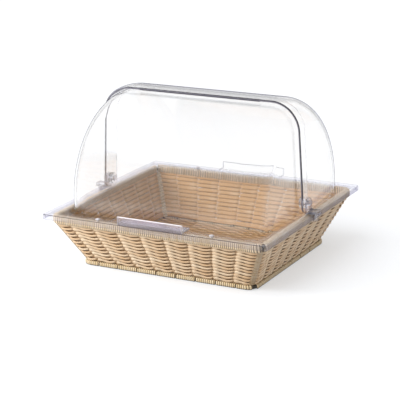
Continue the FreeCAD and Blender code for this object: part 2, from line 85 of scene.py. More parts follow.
def rounded_path(distance: np.ndarray, half_x: float, half_y: float, radius: float) -> tuple[np.ndarray, np.ndarray]:
    """Places along a rounded rectangle, by distance run anticlockwise from the front side's left end.

    The path is four straight runs, each followed by a quarter circle. A place on an arc is the arc's centre plus the
    radius times the outward direction, and the direction turns evenly with distance.

    Args:
        distance: Distances along the path, wrapped round its length.
        half_x: Half its length.
        half_y: Half its depth.
        radius: Corner radius.

    Returns:
        Places as rows of x and y, and outward directions as rows of x and y.
    """
    run_x, run_y, bend = 2 * (half_x - radius), 2 * (half_y - radius), radius * math.pi / 2
    left = np.mod(np.asarray(distance, float), 2 * (run_x + run_y) + 4 * bend)
    place = np.zeros((*left.shape, 2))
    outward = np.zeros_like(place)
    start = 0.0
    for quarter, run in enumerate((run_x, run_y, run_x, run_y)):
        turn = quarter * math.pi / 2
        out = np.array([math.sin(turn), -math.cos(turn)])
        ahead = np.array([math.cos(turn), math.sin(turn)])
        reach = half_y if quarter % 2 == 0 else half_x
        on_run = (left >= start) & (left <= start + run)
        place[on_run] = out * reach + ahead * (left[on_run, None] - start - run / 2)
        outward[on_run] = out
        start += run
        on_bend = (left > start) & (left < start + bend)
        angle = (left[on_bend, None] - start) / radius
        outward[on_bend] = out * np.cos(angle) + ahead * np.sin(angle)
        place[on_bend] = out * (reach - radius) + ahead * (run / 2) + outward[on_bend] * radius
        start += bend
    return place, outward


def rounded_section(width: float, height: float, power: float, count: int) -> np.ndarray:
    """Closed section between an ellipse and a rectangle: a superellipse.

    Args:
        width: Across.
        height: Up.
        power: 2 for an ellipse, more for squarer corners.
        count: Number of points.

    Returns:
        Rows of across and up, anticlockwise.
    """
    angle = 2 * np.pi * np.arange(count)[:, None] / count
    round_it = np.concatenate([np.cos(angle), np.sin(angle)], -1)
    return np.sign(round_it) * np.abs(round_it) ** (2 / power) * [width / 2, height / 2]


def inset_outline(outline: np.ndarray, distance: float) -> np.ndarray:
    """Closed outline moved inwards, each point along the mean of its two edges' inward directions.

    Args:
        outline: Rows of x and y, anticlockwise.
        distance: How far each edge moves.

    Returns:
        Rows of x and y.
    """
    before = unit(outline - np.roll(outline, 1, axis=0))[:, ::-1] * [-1, 1]
    after = unit(np.roll(outline, -1, axis=0) - outline)[:, ::-1] * [-1, 1]
    mean = before + after
    return outline + mean / np.maximum((mean * after).sum(-1, keepdims=True), 0.5) * distance


def rounded_corners(corners: list[tuple[float, float, float]], steps: int = 4) -> np.ndarray:
    """Closed outline with an arc at each corner.

    Each arc touches both its edges: it starts and ends at the radius divided by the tangent of half the corner's
    angle, and it runs evenly between the two.

    Args:
        corners: Rows of x, y and radius, anticlockwise.
        steps: Steps in each arc.

    Returns:
        Rows of x and y.
    """
    rows = []
    spots = np.array([corner[:2] for corner in corners], float)
    for i, here in enumerate(spots):
        radius = corners[i][2]
        back, ahead = unit(spots[i - 1] - here), unit(spots[(i + 1) % len(spots)] - here)
        half = math.acos(float(np.clip(back @ ahead, -1, 1))) / 2
        centre = here + unit(back + ahead) * radius / math.sin(half)
        first, last = (here + edge * radius / math.tan(half) - centre for edge in (back, ahead))
        rows.append(centre + unit(blend(first, last, np.linspace(0, 1, steps + 1)[:, None])) * radius)
    return np.vstack(rows)


def through_keys(share: np.ndarray, keys: np.ndarray) -> np.ndarray:
    """Smooth curve through key rows that repeats once per unit of share.

    Between two keys each value is a cubic, and its slope at a key is that of the line between the two neighbours.

    Args:
        share: Where to read it, any real numbers.
        keys: Rows of share and values, rising within one unit.

    Returns:
        Values, one row for each share.
    """
    unit_step = np.eye(keys.shape[1])[0]
    rows = np.vstack([keys[-2:] - unit_step, keys, keys[:2] + unit_step])
    place = np.mod(share - keys[0, 0], 1) + keys[0, 0]
    index = np.searchsorted(rows[:, 0], place, side="right") - 1
    slopes = (rows[2:, 1:] - rows[:-2, 1:]) / (rows[2:, :1] - rows[:-2, :1])
    low, high = rows[index], rows[index + 1]
    width = high[:, :1] - low[:, :1]
    t = (place[:, None] - low[:, :1]) / width
    return ((1 + 2 * t) * (1 - t) ** 2 * low[:, 1:] + t * (1 - t) ** 2 * width * slopes[index - 1]
            + t ** 2 * (3 - 2 * t) * high[:, 1:] + t ** 2 * (t - 1) * width * slopes[index])


# Meshes

@dataclass
class MeshParts:
    """Points and faces of one piece, gathered grid by grid.

    A grid is an array of points with rows along one parameter and columns along the other. Its faces join each point
    to the next row and column, and wrap round where the grid is closed.
    """

    points: list[np.ndarray] = field(default_factory=list)
    faces: list[list[int]] = field(default_factory=list)
    slots: list[int] = field(default_factory=list)
    values: dict[str, list[np.ndarray]] = field(default_factory=dict)
    count: int = 0

    def add_faces(self, faces: list[list[int]], slot: int) -> None:
        """Adds faces by point index, all in one material slot."""
        self.faces.extend(faces)
        self.slots.extend([slot] * len(faces))

    def add_grid(self, points: np.ndarray, close_rows: bool = False, close_columns: bool = False, slot: int = 0,
                 caps: bool = False, **values: np.ndarray) -> None:
        """Adds a grid of points and its faces.

        Args:
            points: Array of rows by columns by 3.
            close_rows: Joins the last row to the first.
            close_columns: Joins the last column to the first.
            slot: Material slot of its faces.
            caps: Closes the first and the last row with one face each.
            values: Named numbers or vectors for each point.
        """
        rows, columns = points.shape[:2]
        start = self.count
        self.points.append(points.reshape(-1, 3))
        self.count += rows * columns
        for name, value in values.items():
            self.values.setdefault(name, []).append(value.reshape(rows * columns, -1))
        index = start + np.arange(rows * columns).reshape(rows, columns)
        if close_rows:
            index = np.vstack([index, index[:1]])
        if close_columns:
            index = np.hstack([index, index[:, :1]])
        quads = np.stack([index[:-1, :-1], index[:-1, 1:], index[1:, 1:], index[1:, :-1]], -1)
        self.add_faces(quads.reshape(-1, 4).tolist(), slot)
        if caps:
            ring = start + np.arange(columns)
            self.add_faces([ring[::-1].tolist(), (ring + (rows - 1) * columns).tolist()], slot)

    def add_strand(self, line: np.ndarray, first: np.ndarray, second: np.ndarray, section: np.ndarray,
                   length: np.ndarray, tone: np.ndarray | float, crease: np.ndarray | float) -> None:
        """Adds a strand: a section carried along a line, with the numbers that its finish reads.

        Args:
            line: Rows of points along the strand's middle.
            first: Vector of the section's first column, for all rows or one for each.
            second: Vector of its second column, likewise.
            section: Closed section.
            length: Distance along the strand at each row.
            tone: Tone, for the whole strand or for each point.
            crease: How deep it lies between its neighbours, likewise.
        """
        grid = (line[:, None] + np.atleast_2d(first)[:, None] * section[:, :1]
                + np.atleast_2d(second)[:, None] * section[:, 1:])
        size = grid.shape[:2]
        strand = np.concatenate([np.broadcast_to(length[:, None, None], (*size, 1)),
                                 np.broadcast_to(section, (*size, 2))], -1)
        self.add_grid(grid, close_columns=True, caps=True, strand=strand, tone=np.broadcast_to(tone, size),
                      crease=np.broadcast_to(crease, size))

    def add_prism(self, outline: np.ndarray, low: float, high: float, bevel: float,
                  axes: tuple[np.ndarray, np.ndarray, np.ndarray]) -> None:
        """Adds a solid over an outline with rounded rims: the outline, drawn in towards both end faces.

        Args:
            outline: Closed outline, anticlockwise.
            low: Lower end along the third axis.
            high: Upper end.
            bevel: Rim radius.
            axes: Directions of the outline's x and y and of the length.
        """
        angle = np.linspace(0, np.pi / 2, 4)
        inset, lift = bevel * (1 - np.sin(angle)), bevel * (1 - np.cos(angle))
        rings = [*zip(inset, low + lift), *zip(inset[::-1], high - lift[::-1])]
        flats = [np.column_stack([inset_outline(outline, drawn), np.full(len(outline), level)])
                 for drawn, level in rings]
        self.add_grid(np.array(flats) @ np.array(axes), close_columns=True, caps=True)

    def add_turned(self, profile: np.ndarray, base: np.ndarray, axis: np.ndarray, count: int = 28,
                   slot: int = 0) -> None:
        """Adds a solid of revolution: each profile row of radius and level, carried round an axis.

        Args:
            profile: Rows of radius and level, from one pole to the other.
            base: Where the level is zero.
            axis: Direction of the level.
            count: Columns round the axis.
            slot: Material slot.
        """
        first = unit(np.cross(axis, [0.3, 0.2, 0.9]))
        angle = 2 * np.pi * np.arange(count)[:, None] / count
        around = np.cos(angle) * first + np.sin(angle) * np.cross(axis, first)
        grid = base + profile[:, 1, None, None] * axis + profile[:, 0, None, None] * around
        self.add_grid(grid, close_columns=True, caps=True, slot=slot)

    def face_points(self) -> list[np.ndarray]:
        """Points of each face."""
        points = np.vstack(self.points)
        return [points[face] for face in self.faces]

    def build(self, name: str, materials: list[bpy.types.Material], weld: bool = False,
              sharp: float | None = None) -> bpy.types.Object:
        """Makes the Blender object, its place in its mesh and its faces pointing outwards.

        Args:
            name: Name of the piece.
            materials: Materials in slot order.
            weld: Merges points that coincide, and works out the outside of each face again.
            sharp: Edges bent more than this many degrees stay sharp, or None for all smooth.

        Returns:
            The object, linked to the scene.
        """
        mesh = bpy.data.meshes.new(name)
        mesh.from_pydata((np.vstack(self.points) * MM).tolist(), [], self.faces)
        mesh.polygons.foreach_set("material_index", np.array(self.slots, np.int32))
        for key, parts in self.values.items():
            data = np.vstack(parts).astype(np.float32)
            vector = data.shape[1] == 3
            attribute = mesh.attributes.new(key, "FLOAT_VECTOR" if vector else "FLOAT", "POINT")
            attribute.data.foreach_set("vector" if vector else "value", data.ravel())
        work = bmesh.new()
        work.from_mesh(mesh)
        if weld:
            bmesh.ops.remove_doubles(work, verts=work.verts[:], dist=WELD)
            bmesh.ops.recalc_face_normals(work, faces=work.faces[:])
        if work.calc_volume(signed=True) < 0:
            bmesh.ops.reverse_faces(work, faces=work.faces[:])
        work.to_mesh(mesh)
        work.free()
        mesh.polygons.foreach_set("use_smooth", np.ones(len(mesh.polygons), bool))
        if sharp is not None:
            mesh.set_sharp_from_angle(angle=math.radians(sharp))
        mesh.update()
        for material in materials:
            mesh.materials.append(material)
        made = bpy.data.objects.new(name, mesh)
        bpy.context.scene.collection.objects.link(made)
        return made

    def dress(self, name: str, materials: list[bpy.types.Material], body: str, slot: str, *nodes: str,
              weld: bool = False, sharp: float | None = None) -> None:
        """Makes the piece, hangs it on its body and has it stand for its solids.

        Args:
            name: Name of the piece.
            materials: Materials in slot order.
            body: Body that it moves with.
            slot: The record's material slot.
            nodes: Solids that it stands for.
            weld: As in build.
            sharp: As in build.
        """
        made = self.build(name, materials, weld, sharp)
        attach(made, body)
        if nodes:
            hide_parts(*nodes)
        LOG.info("%s: %d points, %d faces, stands for %s", name, len(made.data.vertices), len(made.data.polygons),
                 ", ".join(nodes) or "nothing")


# Finishes

def add_node(tree: bpy.types.NodeTree, kind: str, inputs: dict | None = None, **settings: object) -> bpy.types.Node:
    """Adds a shader node with its settings, values and links.

    Args:
        tree: Node tree.
        kind: Blender's node type, without its first word.
        inputs: Value or output socket for each input, by name or number.
        settings: Node settings by name.

    Returns:
        The node.
    """
    made = tree.nodes.new(f"ShaderNode{kind}")
    for key, value in settings.items():
        setattr(made, key, value)
    for key, value in (inputs or {}).items():
        if isinstance(value, bpy.types.NodeSocket):
            tree.links.new(value, made.inputs[key])
        else:
            made.inputs[key].default_value = value
    return made


def calc(tree: bpy.types.NodeTree, operation: str, *values: object, clamp: bool = False) -> bpy.types.NodeSocket:
    """One step of arithmetic on numbers or sockets, kept between 0 and 1 if clamped."""
    return add_node(tree, "Math", dict(enumerate(values)), operation=operation, use_clamp=clamp).outputs[0]


def read(tree: bpy.types.NodeTree, name: str, output: str = "Fac") -> bpy.types.NodeSocket:
    """Reads a named attribute of the mesh."""
    return add_node(tree, "Attribute", attribute_name=name).outputs[output]


def cloud(tree: bpy.types.NodeTree, scale: float, detail: float, **inputs: object) -> bpy.types.NodeSocket:
    """Noise from 0 to 1 over the object's own coordinates, in metres, unless inputs give another Vector."""
    place = inputs.pop("Vector", None) or add_node(tree, "TexCoord").outputs["Object"]
    return add_node(tree, "TexNoise", {"Vector": place, "Scale": scale, "Detail": detail, **inputs}).outputs["Fac"]


def spread(tree: bpy.types.NodeTree, value: bpy.types.NodeSocket, low: float, high: float) -> bpy.types.NodeSocket:
    """Carries a value from 0 to 1 over to the span from low to high."""
    return add_node(tree, "MapRange", {"Value": value, "To Min": low, "To Max": high}).outputs["Result"]


def ease(tree: bpy.types.NodeTree, value: bpy.types.NodeSocket, start: float, end: float) -> bpy.types.NodeSocket:
    """Smooth rise from 0 where the value is at its start to 1 at its end."""
    return add_node(tree, "MapRange", {"Value": value, "From Min": start, "From Max": end},
                    interpolation_type="SMOOTHSTEP").outputs["Result"]


def between(tree: bpy.types.NodeTree, factor: bpy.types.NodeSocket, low: object, high: object) -> bpy.types.NodeSocket:
    """Colour mixed from two, each a socket or linear colour."""
    return add_node(tree, "Mix", {"Factor": factor, "A": low, "B": high}, data_type="RGBA").outputs["Result"]


def two_colours(tree: bpy.types.NodeTree, factor: bpy.types.NodeSocket, low: str, high: str, start: float = 0.0,
                end: float = 1.0) -> bpy.types.NodeSocket:
    """Colour ramp from one hex colour to another between two factors.

    Args:
        tree: Node tree.
        factor: What the ramp reads.
        low: Hex colour up to the first factor.
        high: Hex colour from the second factor on.
        start: First factor.
        end: Second factor.

    Returns:
        The colour.
    """
    ramp = add_node(tree, "ValToRGB", {"Fac": factor})
    for element, position, colour in zip(ramp.color_ramp.elements, (start, end), (low, high)):
        element.position = position
        element.color = linear(colour)
    return ramp.outputs["Color"]


@dataclass(frozen=True)
class Finish:
    """A material: its name, and the shader that a kind of finish makes for it."""

    name: str

    def surface(self, tree: bpy.types.NodeTree) -> bpy.types.NodeSocket:
        """Makes the finish's shader nodes.

        Args:
            tree: Node tree of the material.

        Returns:
            The shader's output.
        """
        raise NotImplementedError

    def build(self) -> bpy.types.Material:
        """Makes the material.

        Returns:
            The material with its shader linked.
        """
        material = bpy.data.materials.new(self.name)
        material.use_nodes = True
        tree = material.node_tree
        tree.nodes.clear()
        add_node(tree, "OutputMaterial", {"Surface": self.surface(tree)})
        return material


@dataclass(frozen=True)
class CaneStrand(Finish):
    """Extruded polypropylene cane strand, drawn through a die: fine streaks run along it under a satin skin.

    The attribute "strand" holds millimetres along the strand and its two cross directions, "tone" one number for
    each strand, and a third attribute how deep a place lies between the strands, where shade is painted in as a darker
    colour.
    """

    name: str = "polypropylene_cane_strand"
    pale: str = "F2DEC2"
    deep: str = "D2A876"
    shade: str = "BE9A70"
    # Colour of the painted shade deep between the strands.
    crease: str = "98744C"
    streak_mm: float = 0.55
    streak_length_mm: float = 26.0
    roughness: float = 0.40

    def surface(self, tree: bpy.types.NodeTree) -> bpy.types.NodeSocket:
        """Streaked satin strand, worn in patches and shaded in its creases.

        Args:
            tree: Node tree of the material.

        Returns:
            The shader's output.
        """
        fine = add_node(tree, "VectorMath", {
            0: read(tree, "strand", "Vector"), 1: (1 / self.streak_length_mm, 1 / self.streak_mm, 1 / self.streak_mm)},
            operation="MULTIPLY").outputs[0]
        streaks = cloud(tree, 1.0, 3.0, Vector=fine, Roughness=0.55)
        mixed = calc(tree, "MULTIPLY_ADD", streaks, 0.62, read(tree, "tone"))
        body = two_colours(tree, mixed, self.pale, self.deep, 0.30, 1.10)
        worn = calc(tree, "SUBTRACT", cloud(tree, 38.0, 2.0), 0.52, clamp=True)
        colour = between(tree, worn, body, linear(self.shade))
        # Painted shade: the colour darkens where the strand lies deep between its neighbours.
        colour = between(tree, read(tree, "crease"), colour, linear(self.crease))
        bump = add_node(tree, "Bump", {"Height": streaks, "Strength": 0.35, "Distance": 0.12 * MM})
        return add_node(tree, "BsdfPrincipled", {
            "Base Color": colour, "Roughness": spread(tree, streaks, self.roughness - 0.08, self.roughness + 0.12),
            "Normal": bump.outputs[0], "IOR": 1.46, "Coat Weight": 0.06, "Coat Roughness": 0.25}).outputs[0]


@dataclass(frozen=True)
class WoundStrand(Finish):
    """Thin polypropylene strand wound close round a core: one turn beside the next, each a little off in tone.

    The attribute "turn" counts the turns along the band, and shade between two turns is painted in as a darker colour.
    """

    name: str = "wound_polypropylene_strand"
    pale: str = "F3E2C6"
    deep: str = "E6CDA4"
    # Colour of the painted shade between two turns.
    crease: str = "4E3B2A"
    roughness: float = 0.36

    def surface(self, tree: bpy.types.NodeTree) -> bpy.types.NodeSocket:
        """Satin strand with a tone for each turn.

        Args:
            tree: Node tree of the material.

        Returns:
            The shader's output.
        """
        turn = read(tree, "turn")
        chance = add_node(tree, "TexWhiteNoise", {"W": calc(tree, "FLOOR", turn)}, noise_dimensions="1D")
        off_middle = calc(tree, "ABSOLUTE", calc(tree, "SUBTRACT", calc(tree, "FRACT", turn), 0.5))
        body = two_colours(tree, chance.outputs["Value"], self.pale, self.deep)
        # Painted shade in the groove between two turns.
        colour = between(tree, ease(tree, off_middle, 0.24, 0.42), body, linear(self.crease))
        return add_node(tree, "BsdfPrincipled", {
            "Base Color": colour, "Roughness": self.roughness, "IOR": 1.49, "Coat Weight": 0.12,
            "Coat Roughness": 0.25}).outputs[0]


@dataclass(frozen=True)
class LacqueredWire(Finish):
    """Mild steel rod in a dark brown lacquer: satin, with paler rubs along it."""

    name: str = "lacquered_steel_rod"
    colour: str = "2E2820"
    rubbed: str = "6A6258"

    def surface(self, tree: bpy.types.NodeTree) -> bpy.types.NodeSocket:
        """Dark satin lacquer.

        Args:
            tree: Node tree of the material.

        Returns:
            The shader's output.
        """
        colour = two_colours(tree, cloud(tree, 260.0, 4.0), self.colour, self.rubbed, 0.48, 0.72)
        return add_node(tree, "BsdfPrincipled", {
            "Base Color": colour, "Roughness": 0.34, "Metallic": 0.35}).outputs[0]


@dataclass(frozen=True)
class Polycarbonate(Finish):
    """Clear injection-moulded polycarbonate: polished faces, faint waves from the mould, lamps shine through it.

    Seen square on it takes the colour "face". Towards edge on, where the eye looks along the sheet and through more
    of it, the colour deepens to "edge". The share "straight" passes without bending, as through a thin sheet, and
    the share "milk" scatters.
    """

    name: str = "clear_polycarbonate"
    face: str = "FFFFFF"
    edge: str = "93929F"
    edge_from: float = 0.70
    straight: float = 0.0
    milk: float = 0.0
    roughness: float = 0.02
    passed: str = "FAFAFC"

    def surface(self, tree: bpy.types.NodeTree) -> bpy.types.NodeSocket:
        """Clear plastic. Edge on is one less the cosine of the angle between ray and face, from edge_from to 1.

        Args:
            tree: Node tree of the material.

        Returns:
            The shader's output.
        """
        waves = add_node(tree, "Bump", {"Height": cloud(tree, 83.0, 1.0), "Strength": 0.02, "Distance": 0.4 * MM})
        edge_on = ease(tree, add_node(tree, "LayerWeight", {"Blend": 0.5}).outputs["Facing"], self.edge_from, 1.0)
        tint = two_colours(tree, edge_on, self.face, self.edge)
        glass = add_node(tree, "BsdfPrincipled", {
            "Base Color": tint, "Roughness": self.roughness, "IOR": 1.585, "Normal": waves.outputs[0],
            "Transmission Weight": 1 - self.milk})
        thin = add_node(tree, "BsdfTransparent", {"Color": tint})
        body = add_node(tree, "MixShader", {
            0: spread(tree, edge_on, self.straight, 0.96), 1: glass.outputs[0], 2: thin.outputs[0]})
        lamps = add_node(tree, "BsdfTransparent", {"Color": linear(self.passed)})
        return add_node(tree, "MixShader", {
            0: add_node(tree, "LightPath").outputs["Is Shadow Ray"], 1: body.outputs[0],
            2: lamps.outputs[0]}).outputs[0]


@dataclass(frozen=True)
class CutEdge(Finish):
    """Sawn and flame-polished edge of the polycarbonate, made opaque: the violet grey of the sheet's depth and the
    dark look of the clear edge are painted in.
    """

    name: str = "cut_edge_painted_shade"
    colour: str = "6D6B78"
    roughness: float = 0.2

    def surface(self, tree: bpy.types.NodeTree) -> bpy.types.NodeSocket:
        """Dense tinted edge, polished unevenly.

        Args:
            tree: Node tree of the material.

        Returns:
            The shader's output.
        """
        rough = spread(tree, cloud(tree, 140.0, 2.0), self.roughness - 0.06, self.roughness + 0.1)
        return add_node(tree, "BsdfPrincipled", {
            "Base Color": linear(self.colour), "Roughness": rough, "IOR": 1.585}).outputs[0]


@dataclass(frozen=True)
class MouldedPlastic(Finish):
    """Small moulded fitting of nylon: smooth, with a faint grain from the mould."""

    colour: str
    roughness: float = 0.3

    def surface(self, tree: bpy.types.NodeTree) -> bpy.types.NodeSocket:
        """Plain moulded plastic.

        Args:
            tree: Node tree of the material.

        Returns:
            The shader's output.
        """
        grain = add_node(tree, "Bump", {"Height": cloud(tree, 900.0, 2.0), "Strength": 0.1, "Distance": 0.05 * MM})
        return add_node(tree, "BsdfPrincipled", {
            "Base Color": linear(self.colour), "Roughness": self.roughness, "IOR": 1.53,
            "Normal": grain.outputs[0]}).outputs[0]


# Basket

Keys = tuple[tuple[float, float, float, float], ...]


class Side(Enum):
    """A side of the basket: its outward direction in quarter turns from the serving side."""

    FRONT = 0
    RIGHT = 1
    REAR = 2
    LEFT = 3

    @property
    def outward(self) -> np.ndarray:
        """Level direction away from the basket."""
        return np.array([math.sin(self.value * math.pi / 2), -math.cos(self.value * math.pi / 2), 0.0])

    @property
    def along(self) -> np.ndarray:
        """Level direction to the right, seen from outside."""
        return np.array([math.cos(self.value * math.pi / 2), math.sin(self.value * math.pi / 2), 0.0])

    @property
    def is_long(self) -> bool:
        """True for the two sides along X."""
        return self in (Side.FRONT, Side.REAR)


@dataclass(frozen=True)
class BasketForm:
    """Sizes that the basket's pieces share."""

    rim_length: float = 340.0
    rim_depth: float = 311.0
    rim_width: float = 10.0
    rim_height: float = 12.4
    rim_middle: float = 73.65
    foot_length: float = 280.0
    foot_depth: float = 243.0
    foot_width: float = 8.0
    foot_height: float = 6.7
    corner: float = 16.0
    wall: float = 4.8
    pitch: float = 31.5
    base: float = 9.15
    top: float = 68.7
    weave_low: float = 6.8
    long_stakes: int = 8
    short_stakes: int = 7

    def half_sizes(self, side: Side, level: np.ndarray | float) -> tuple[np.ndarray, np.ndarray]:
        """Half the side's length and its distance from the middle, at the wall's outer face.

        Args:
            side: Which side.
            level: Height above the standing surface.

        Returns:
            Half length and reach.
        """
        share = (np.asarray(level, float) - self.base) / (self.top - self.base)
        low_inset, high_inset = (self.foot_width - self.wall) / 2, (self.rim_width - self.wall) / 2
        half_x = blend(self.foot_length / 2 - low_inset, self.rim_length / 2 - high_inset, share)
        half_y = blend(self.foot_depth / 2 - low_inset, self.rim_depth / 2 - high_inset, share)
        return (half_x, half_y) if side.is_long else (half_y, half_x)

    def stakes(self, side: Side) -> np.ndarray:
        """Stations of a side's stakes at the foot."""
        count = self.long_stakes if side.is_long else self.short_stakes
        return (np.arange(count) - (count - 1) / 2) * self.pitch


def uneven(run: np.ndarray, chance: np.random.Generator, deviation: float, swing: float,
           wave: tuple[float, float]) -> np.ndarray:
    """Small difference of one strand: a chance shift, and a slow sine wave along it.

    Args:
        run: Distances along the strand.
        chance: Source of chance.
        deviation: Standard deviation of the shift.
        swing: Height of the wave.
        wave: Least and greatest distance for one radian of it.

    Returns:
        The difference at each distance.
    """
    return chance.normal(0, deviation) + swing * np.sin(run / chance.uniform(*wave) + chance.uniform(0, 6))


@dataclass
class WovenWall:
    """One flared side: two strands to a row, twined round the stakes, and the stakes themselves.

    A strand comes forward just before a stake, passes over it as a short ridge, bellies out to the next stake and
    dives behind that one, to come forward again at the one after. The row's other strand does the same one stake on.
    A plain strand inside closes the wall over the foot.
    The long sides are woven from left to right and the short ones from right to left.
    The path is a table over two pitches: pitches from the stake, depth from the wall's outer face, rise along the
    slope, and half the strand's width.
    """

    form: BasketForm
    side: Side
    rows: int = 11
    path: Keys = (
        (-0.17, -2.75, -0.40, 3.25), (-0.10, -1.70, 0.00, 3.15), (-0.03, -0.85, 0.80, 3.15), (0.05, -0.45, 1.30, 3.15),
        (0.12, -0.50, 1.15, 2.75), (0.20, -0.80, 0.60, 2.25), (0.28, -0.90, -0.05, 2.15), (0.36, -0.75, -0.65, 2.55),
        (0.44, -0.65, -1.00, 2.50), (0.53, -0.62, -1.10, 2.05), (0.63, -0.75, -0.80, 1.72), (0.73, -1.05, -0.20, 1.75),
        (0.82, -1.75, 0.45, 2.15), (0.91, -2.95, 0.50, 3.00), (1.02, -3.90, 0.20, 3.50), (1.20, -3.95, 0.00, 3.50),
        (1.50, -3.95, 0.00, 3.50), (1.67, -3.90, -0.20, 3.50), (1.76, -3.50, -0.40, 3.40))
    filler: Keys = tuple((share, -3.7, 0.0, 2.2) for share in (0.0, 0.5, 1.0, 1.5))
    filler_rise: float = 0.3
    half_depth: float = 1.3
    step: float = 1.35
    sides: int = 10
    arc_degrees: float = 31.0
    seed: int = 40
    lag_deviation: float = 0.018
    rise_uneven: tuple[float, float, tuple[float, float]] = (0.10, 0.12, (9, 23))
    width_uneven: tuple[float, float, tuple[float, float]] = (0.02, 0.05, (11, 31))
    tone: float = 0.10
    tone_deviation: float = 0.08
    inside_shade_tone: float = 0.50
    tone_wave: float = 0.11
    inside_from: float = 0.5
    crease_from: float = 2.15
    crease_fade: float = 1.3
    inner_clearance: float = 1.2
    inner_crease: float = 0.9
    stake_size: tuple[float, float] = (5.2, 1.4)
    stake_depth: float = 2.3
    stake_excess: float = 4.0
    stake_tone: float = 0.3
    stake_crease: float = 0.6

    def line(self, run: np.ndarray, level: float) -> tuple[np.ndarray, np.ndarray, np.ndarray]:
        """Level line on the wall's outer face: straight, then round the corner's arc.

        Args:
            run: Distance from the side's middle along the line.
            level: Its height.

        Returns:
            Rows of points, of directions square out of the wall, and of directions up its slope.
        """
        half, reach = self.form.half_sizes(self.side, level)
        radius, lean = self.form.corner, self.slope()
        straight = half - radius
        angle = (np.sign(run) * np.maximum(np.abs(run) - straight, 0) / radius)[:, None]
        outward = np.cos(angle) * self.side.outward + np.sin(angle) * self.side.along
        points = (np.clip(run, -straight, straight)[:, None] * self.side.along
                  + (reach - radius) * self.side.outward + radius * outward + level * Z)
        return points, outward * math.cos(lean) - math.sin(lean) * Z, outward * math.sin(lean) + math.cos(lean) * Z

    def slope(self) -> float:
        """Lean of the wall from upright, in radians."""
        low, high = (self.form.half_sizes(self.side, level)[1] for level in (self.form.base, self.form.top))
        return math.atan2(high - low, self.form.top - self.form.base)

    def strand(self, parts: MeshParts, level: float, lag: int, chance: np.random.Generator, keys: Keys) -> None:
        """Adds one strand: a flattened tube along its path.

        A place counts as deep in the weave the nearer it lies to the middle of the wall, from either face, and shade
        is painted there as a darker colour. Strands on the basket's inner face take a deeper tone and dark lines
        between rows, both painted shade.

        Args:
            parts: Where it goes.
            level: Height of its row.
            lag: Pitches that it lies behind the side's first stake.
            chance: Source of small differences.
            keys: Table of its path.
        """
        form = self.form
        half, low_half = (form.half_sizes(self.side, height)[0] for height in (level, form.base))
        end = half - form.corner + form.corner * math.radians(self.arc_degrees)
        run = np.linspace(-end, end, int(2 * end / self.step))
        shift = 0.5 if len(form.stakes(self.side)) % 2 == 0 else 0.0
        way = 1 if self.side.is_long else -1
        share = (way * run * low_half / half / form.pitch - shift - lag + chance.normal(0, self.lag_deviation)) / 2
        wobble = uneven(run, chance, *self.rise_uneven)
        depth, lift, tall = through_keys(share, np.array(keys) * [0.5, 1, 1, 1]).T
        tall = tall * (1 + uneven(run, chance, *self.width_uneven))
        points, normal, uphill = self.line(run, level)
        centre = points + normal * depth[:, None] + uphill * (lift + wobble)[:, None]
        section = rounded_section(2, 2, 2.15, self.sides)
        length = run + chance.uniform(0, 900)
        from_middle = depth[:, None] + section[:, 0] * self.half_depth + form.wall / 2
        inside = np.clip(-self.inside_from - from_middle, 0, 1)
        along_pitch = (1 - np.cos(2 * np.pi * (2 * share - 0.05)))[:, None]
        # Painted shade: a deeper tone on the basket's inner face.
        tone = (chance.normal(self.tone, self.tone_deviation) + self.inside_shade_tone * inside
                + self.tone_wave * along_pitch)
        # Painted shade: darker deep in the wall, and in lines between the rows on the inner face.
        from_face = np.where(from_middle < 0, self.inner_clearance - from_middle, from_middle)
        crease = np.maximum(np.clip((self.crease_from - from_face) / self.crease_fade, 0, 1) ** 1.3,
                            self.inner_crease * inside * np.clip(4 * np.abs(section[:, 1]) - 2.3, 0, 1))
        parts.add_strand(centre, normal * self.half_depth, uphill * tall[:, None], section, length, tone, crease)

    def weave(self, material: bpy.types.Material) -> None:
        """Makes the side's rows.

        Args:
            material: Strand finish.
        """
        parts = MeshParts()
        chance = np.random.default_rng(self.seed + self.side.value)
        pitch = (self.form.top - self.form.weave_low) / self.rows
        for row in range(self.rows):
            for lag in (0, 1):
                self.strand(parts, self.form.weave_low + (row + 0.5) * pitch, lag, chance, self.path)
        self.strand(parts, self.form.weave_low + self.filler_rise, 0, chance, self.filler)
        parts.dress(f"woven_side_{self.side.name.lower()}", [material], "base", "woven_strand", "basket_wall",
                    "basket_courses")

    def stand_stakes(self, parts: MeshParts) -> None:
        """Adds the side's stakes: flat rods through the weave, fanning out to the rim.

        Args:
            parts: Where they go.
        """
        form, side = self.form, self.side
        low_half, low_reach = form.half_sizes(side, form.base)
        high_half, high_reach = form.half_sizes(side, form.top)
        section = rounded_section(*self.stake_size, 2.4, 12)
        share = np.linspace(0, 1, 9)
        for station in form.stakes(side):
            low = (side.along * station + side.outward * (low_reach - self.stake_depth)
                   + (form.base - self.stake_excess) * Z)
            high = (side.along * station * high_half / low_half + side.outward * (high_reach - self.stake_depth)
                    + (form.top + self.stake_excess) * Z)
            # The stakes carry a fixed share of painted shade, as they lie deep in the weave.
            parts.add_strand(blend(low, high, share[:, None]), side.along, side.outward, section, share * 70,
                             self.stake_tone, self.stake_crease)


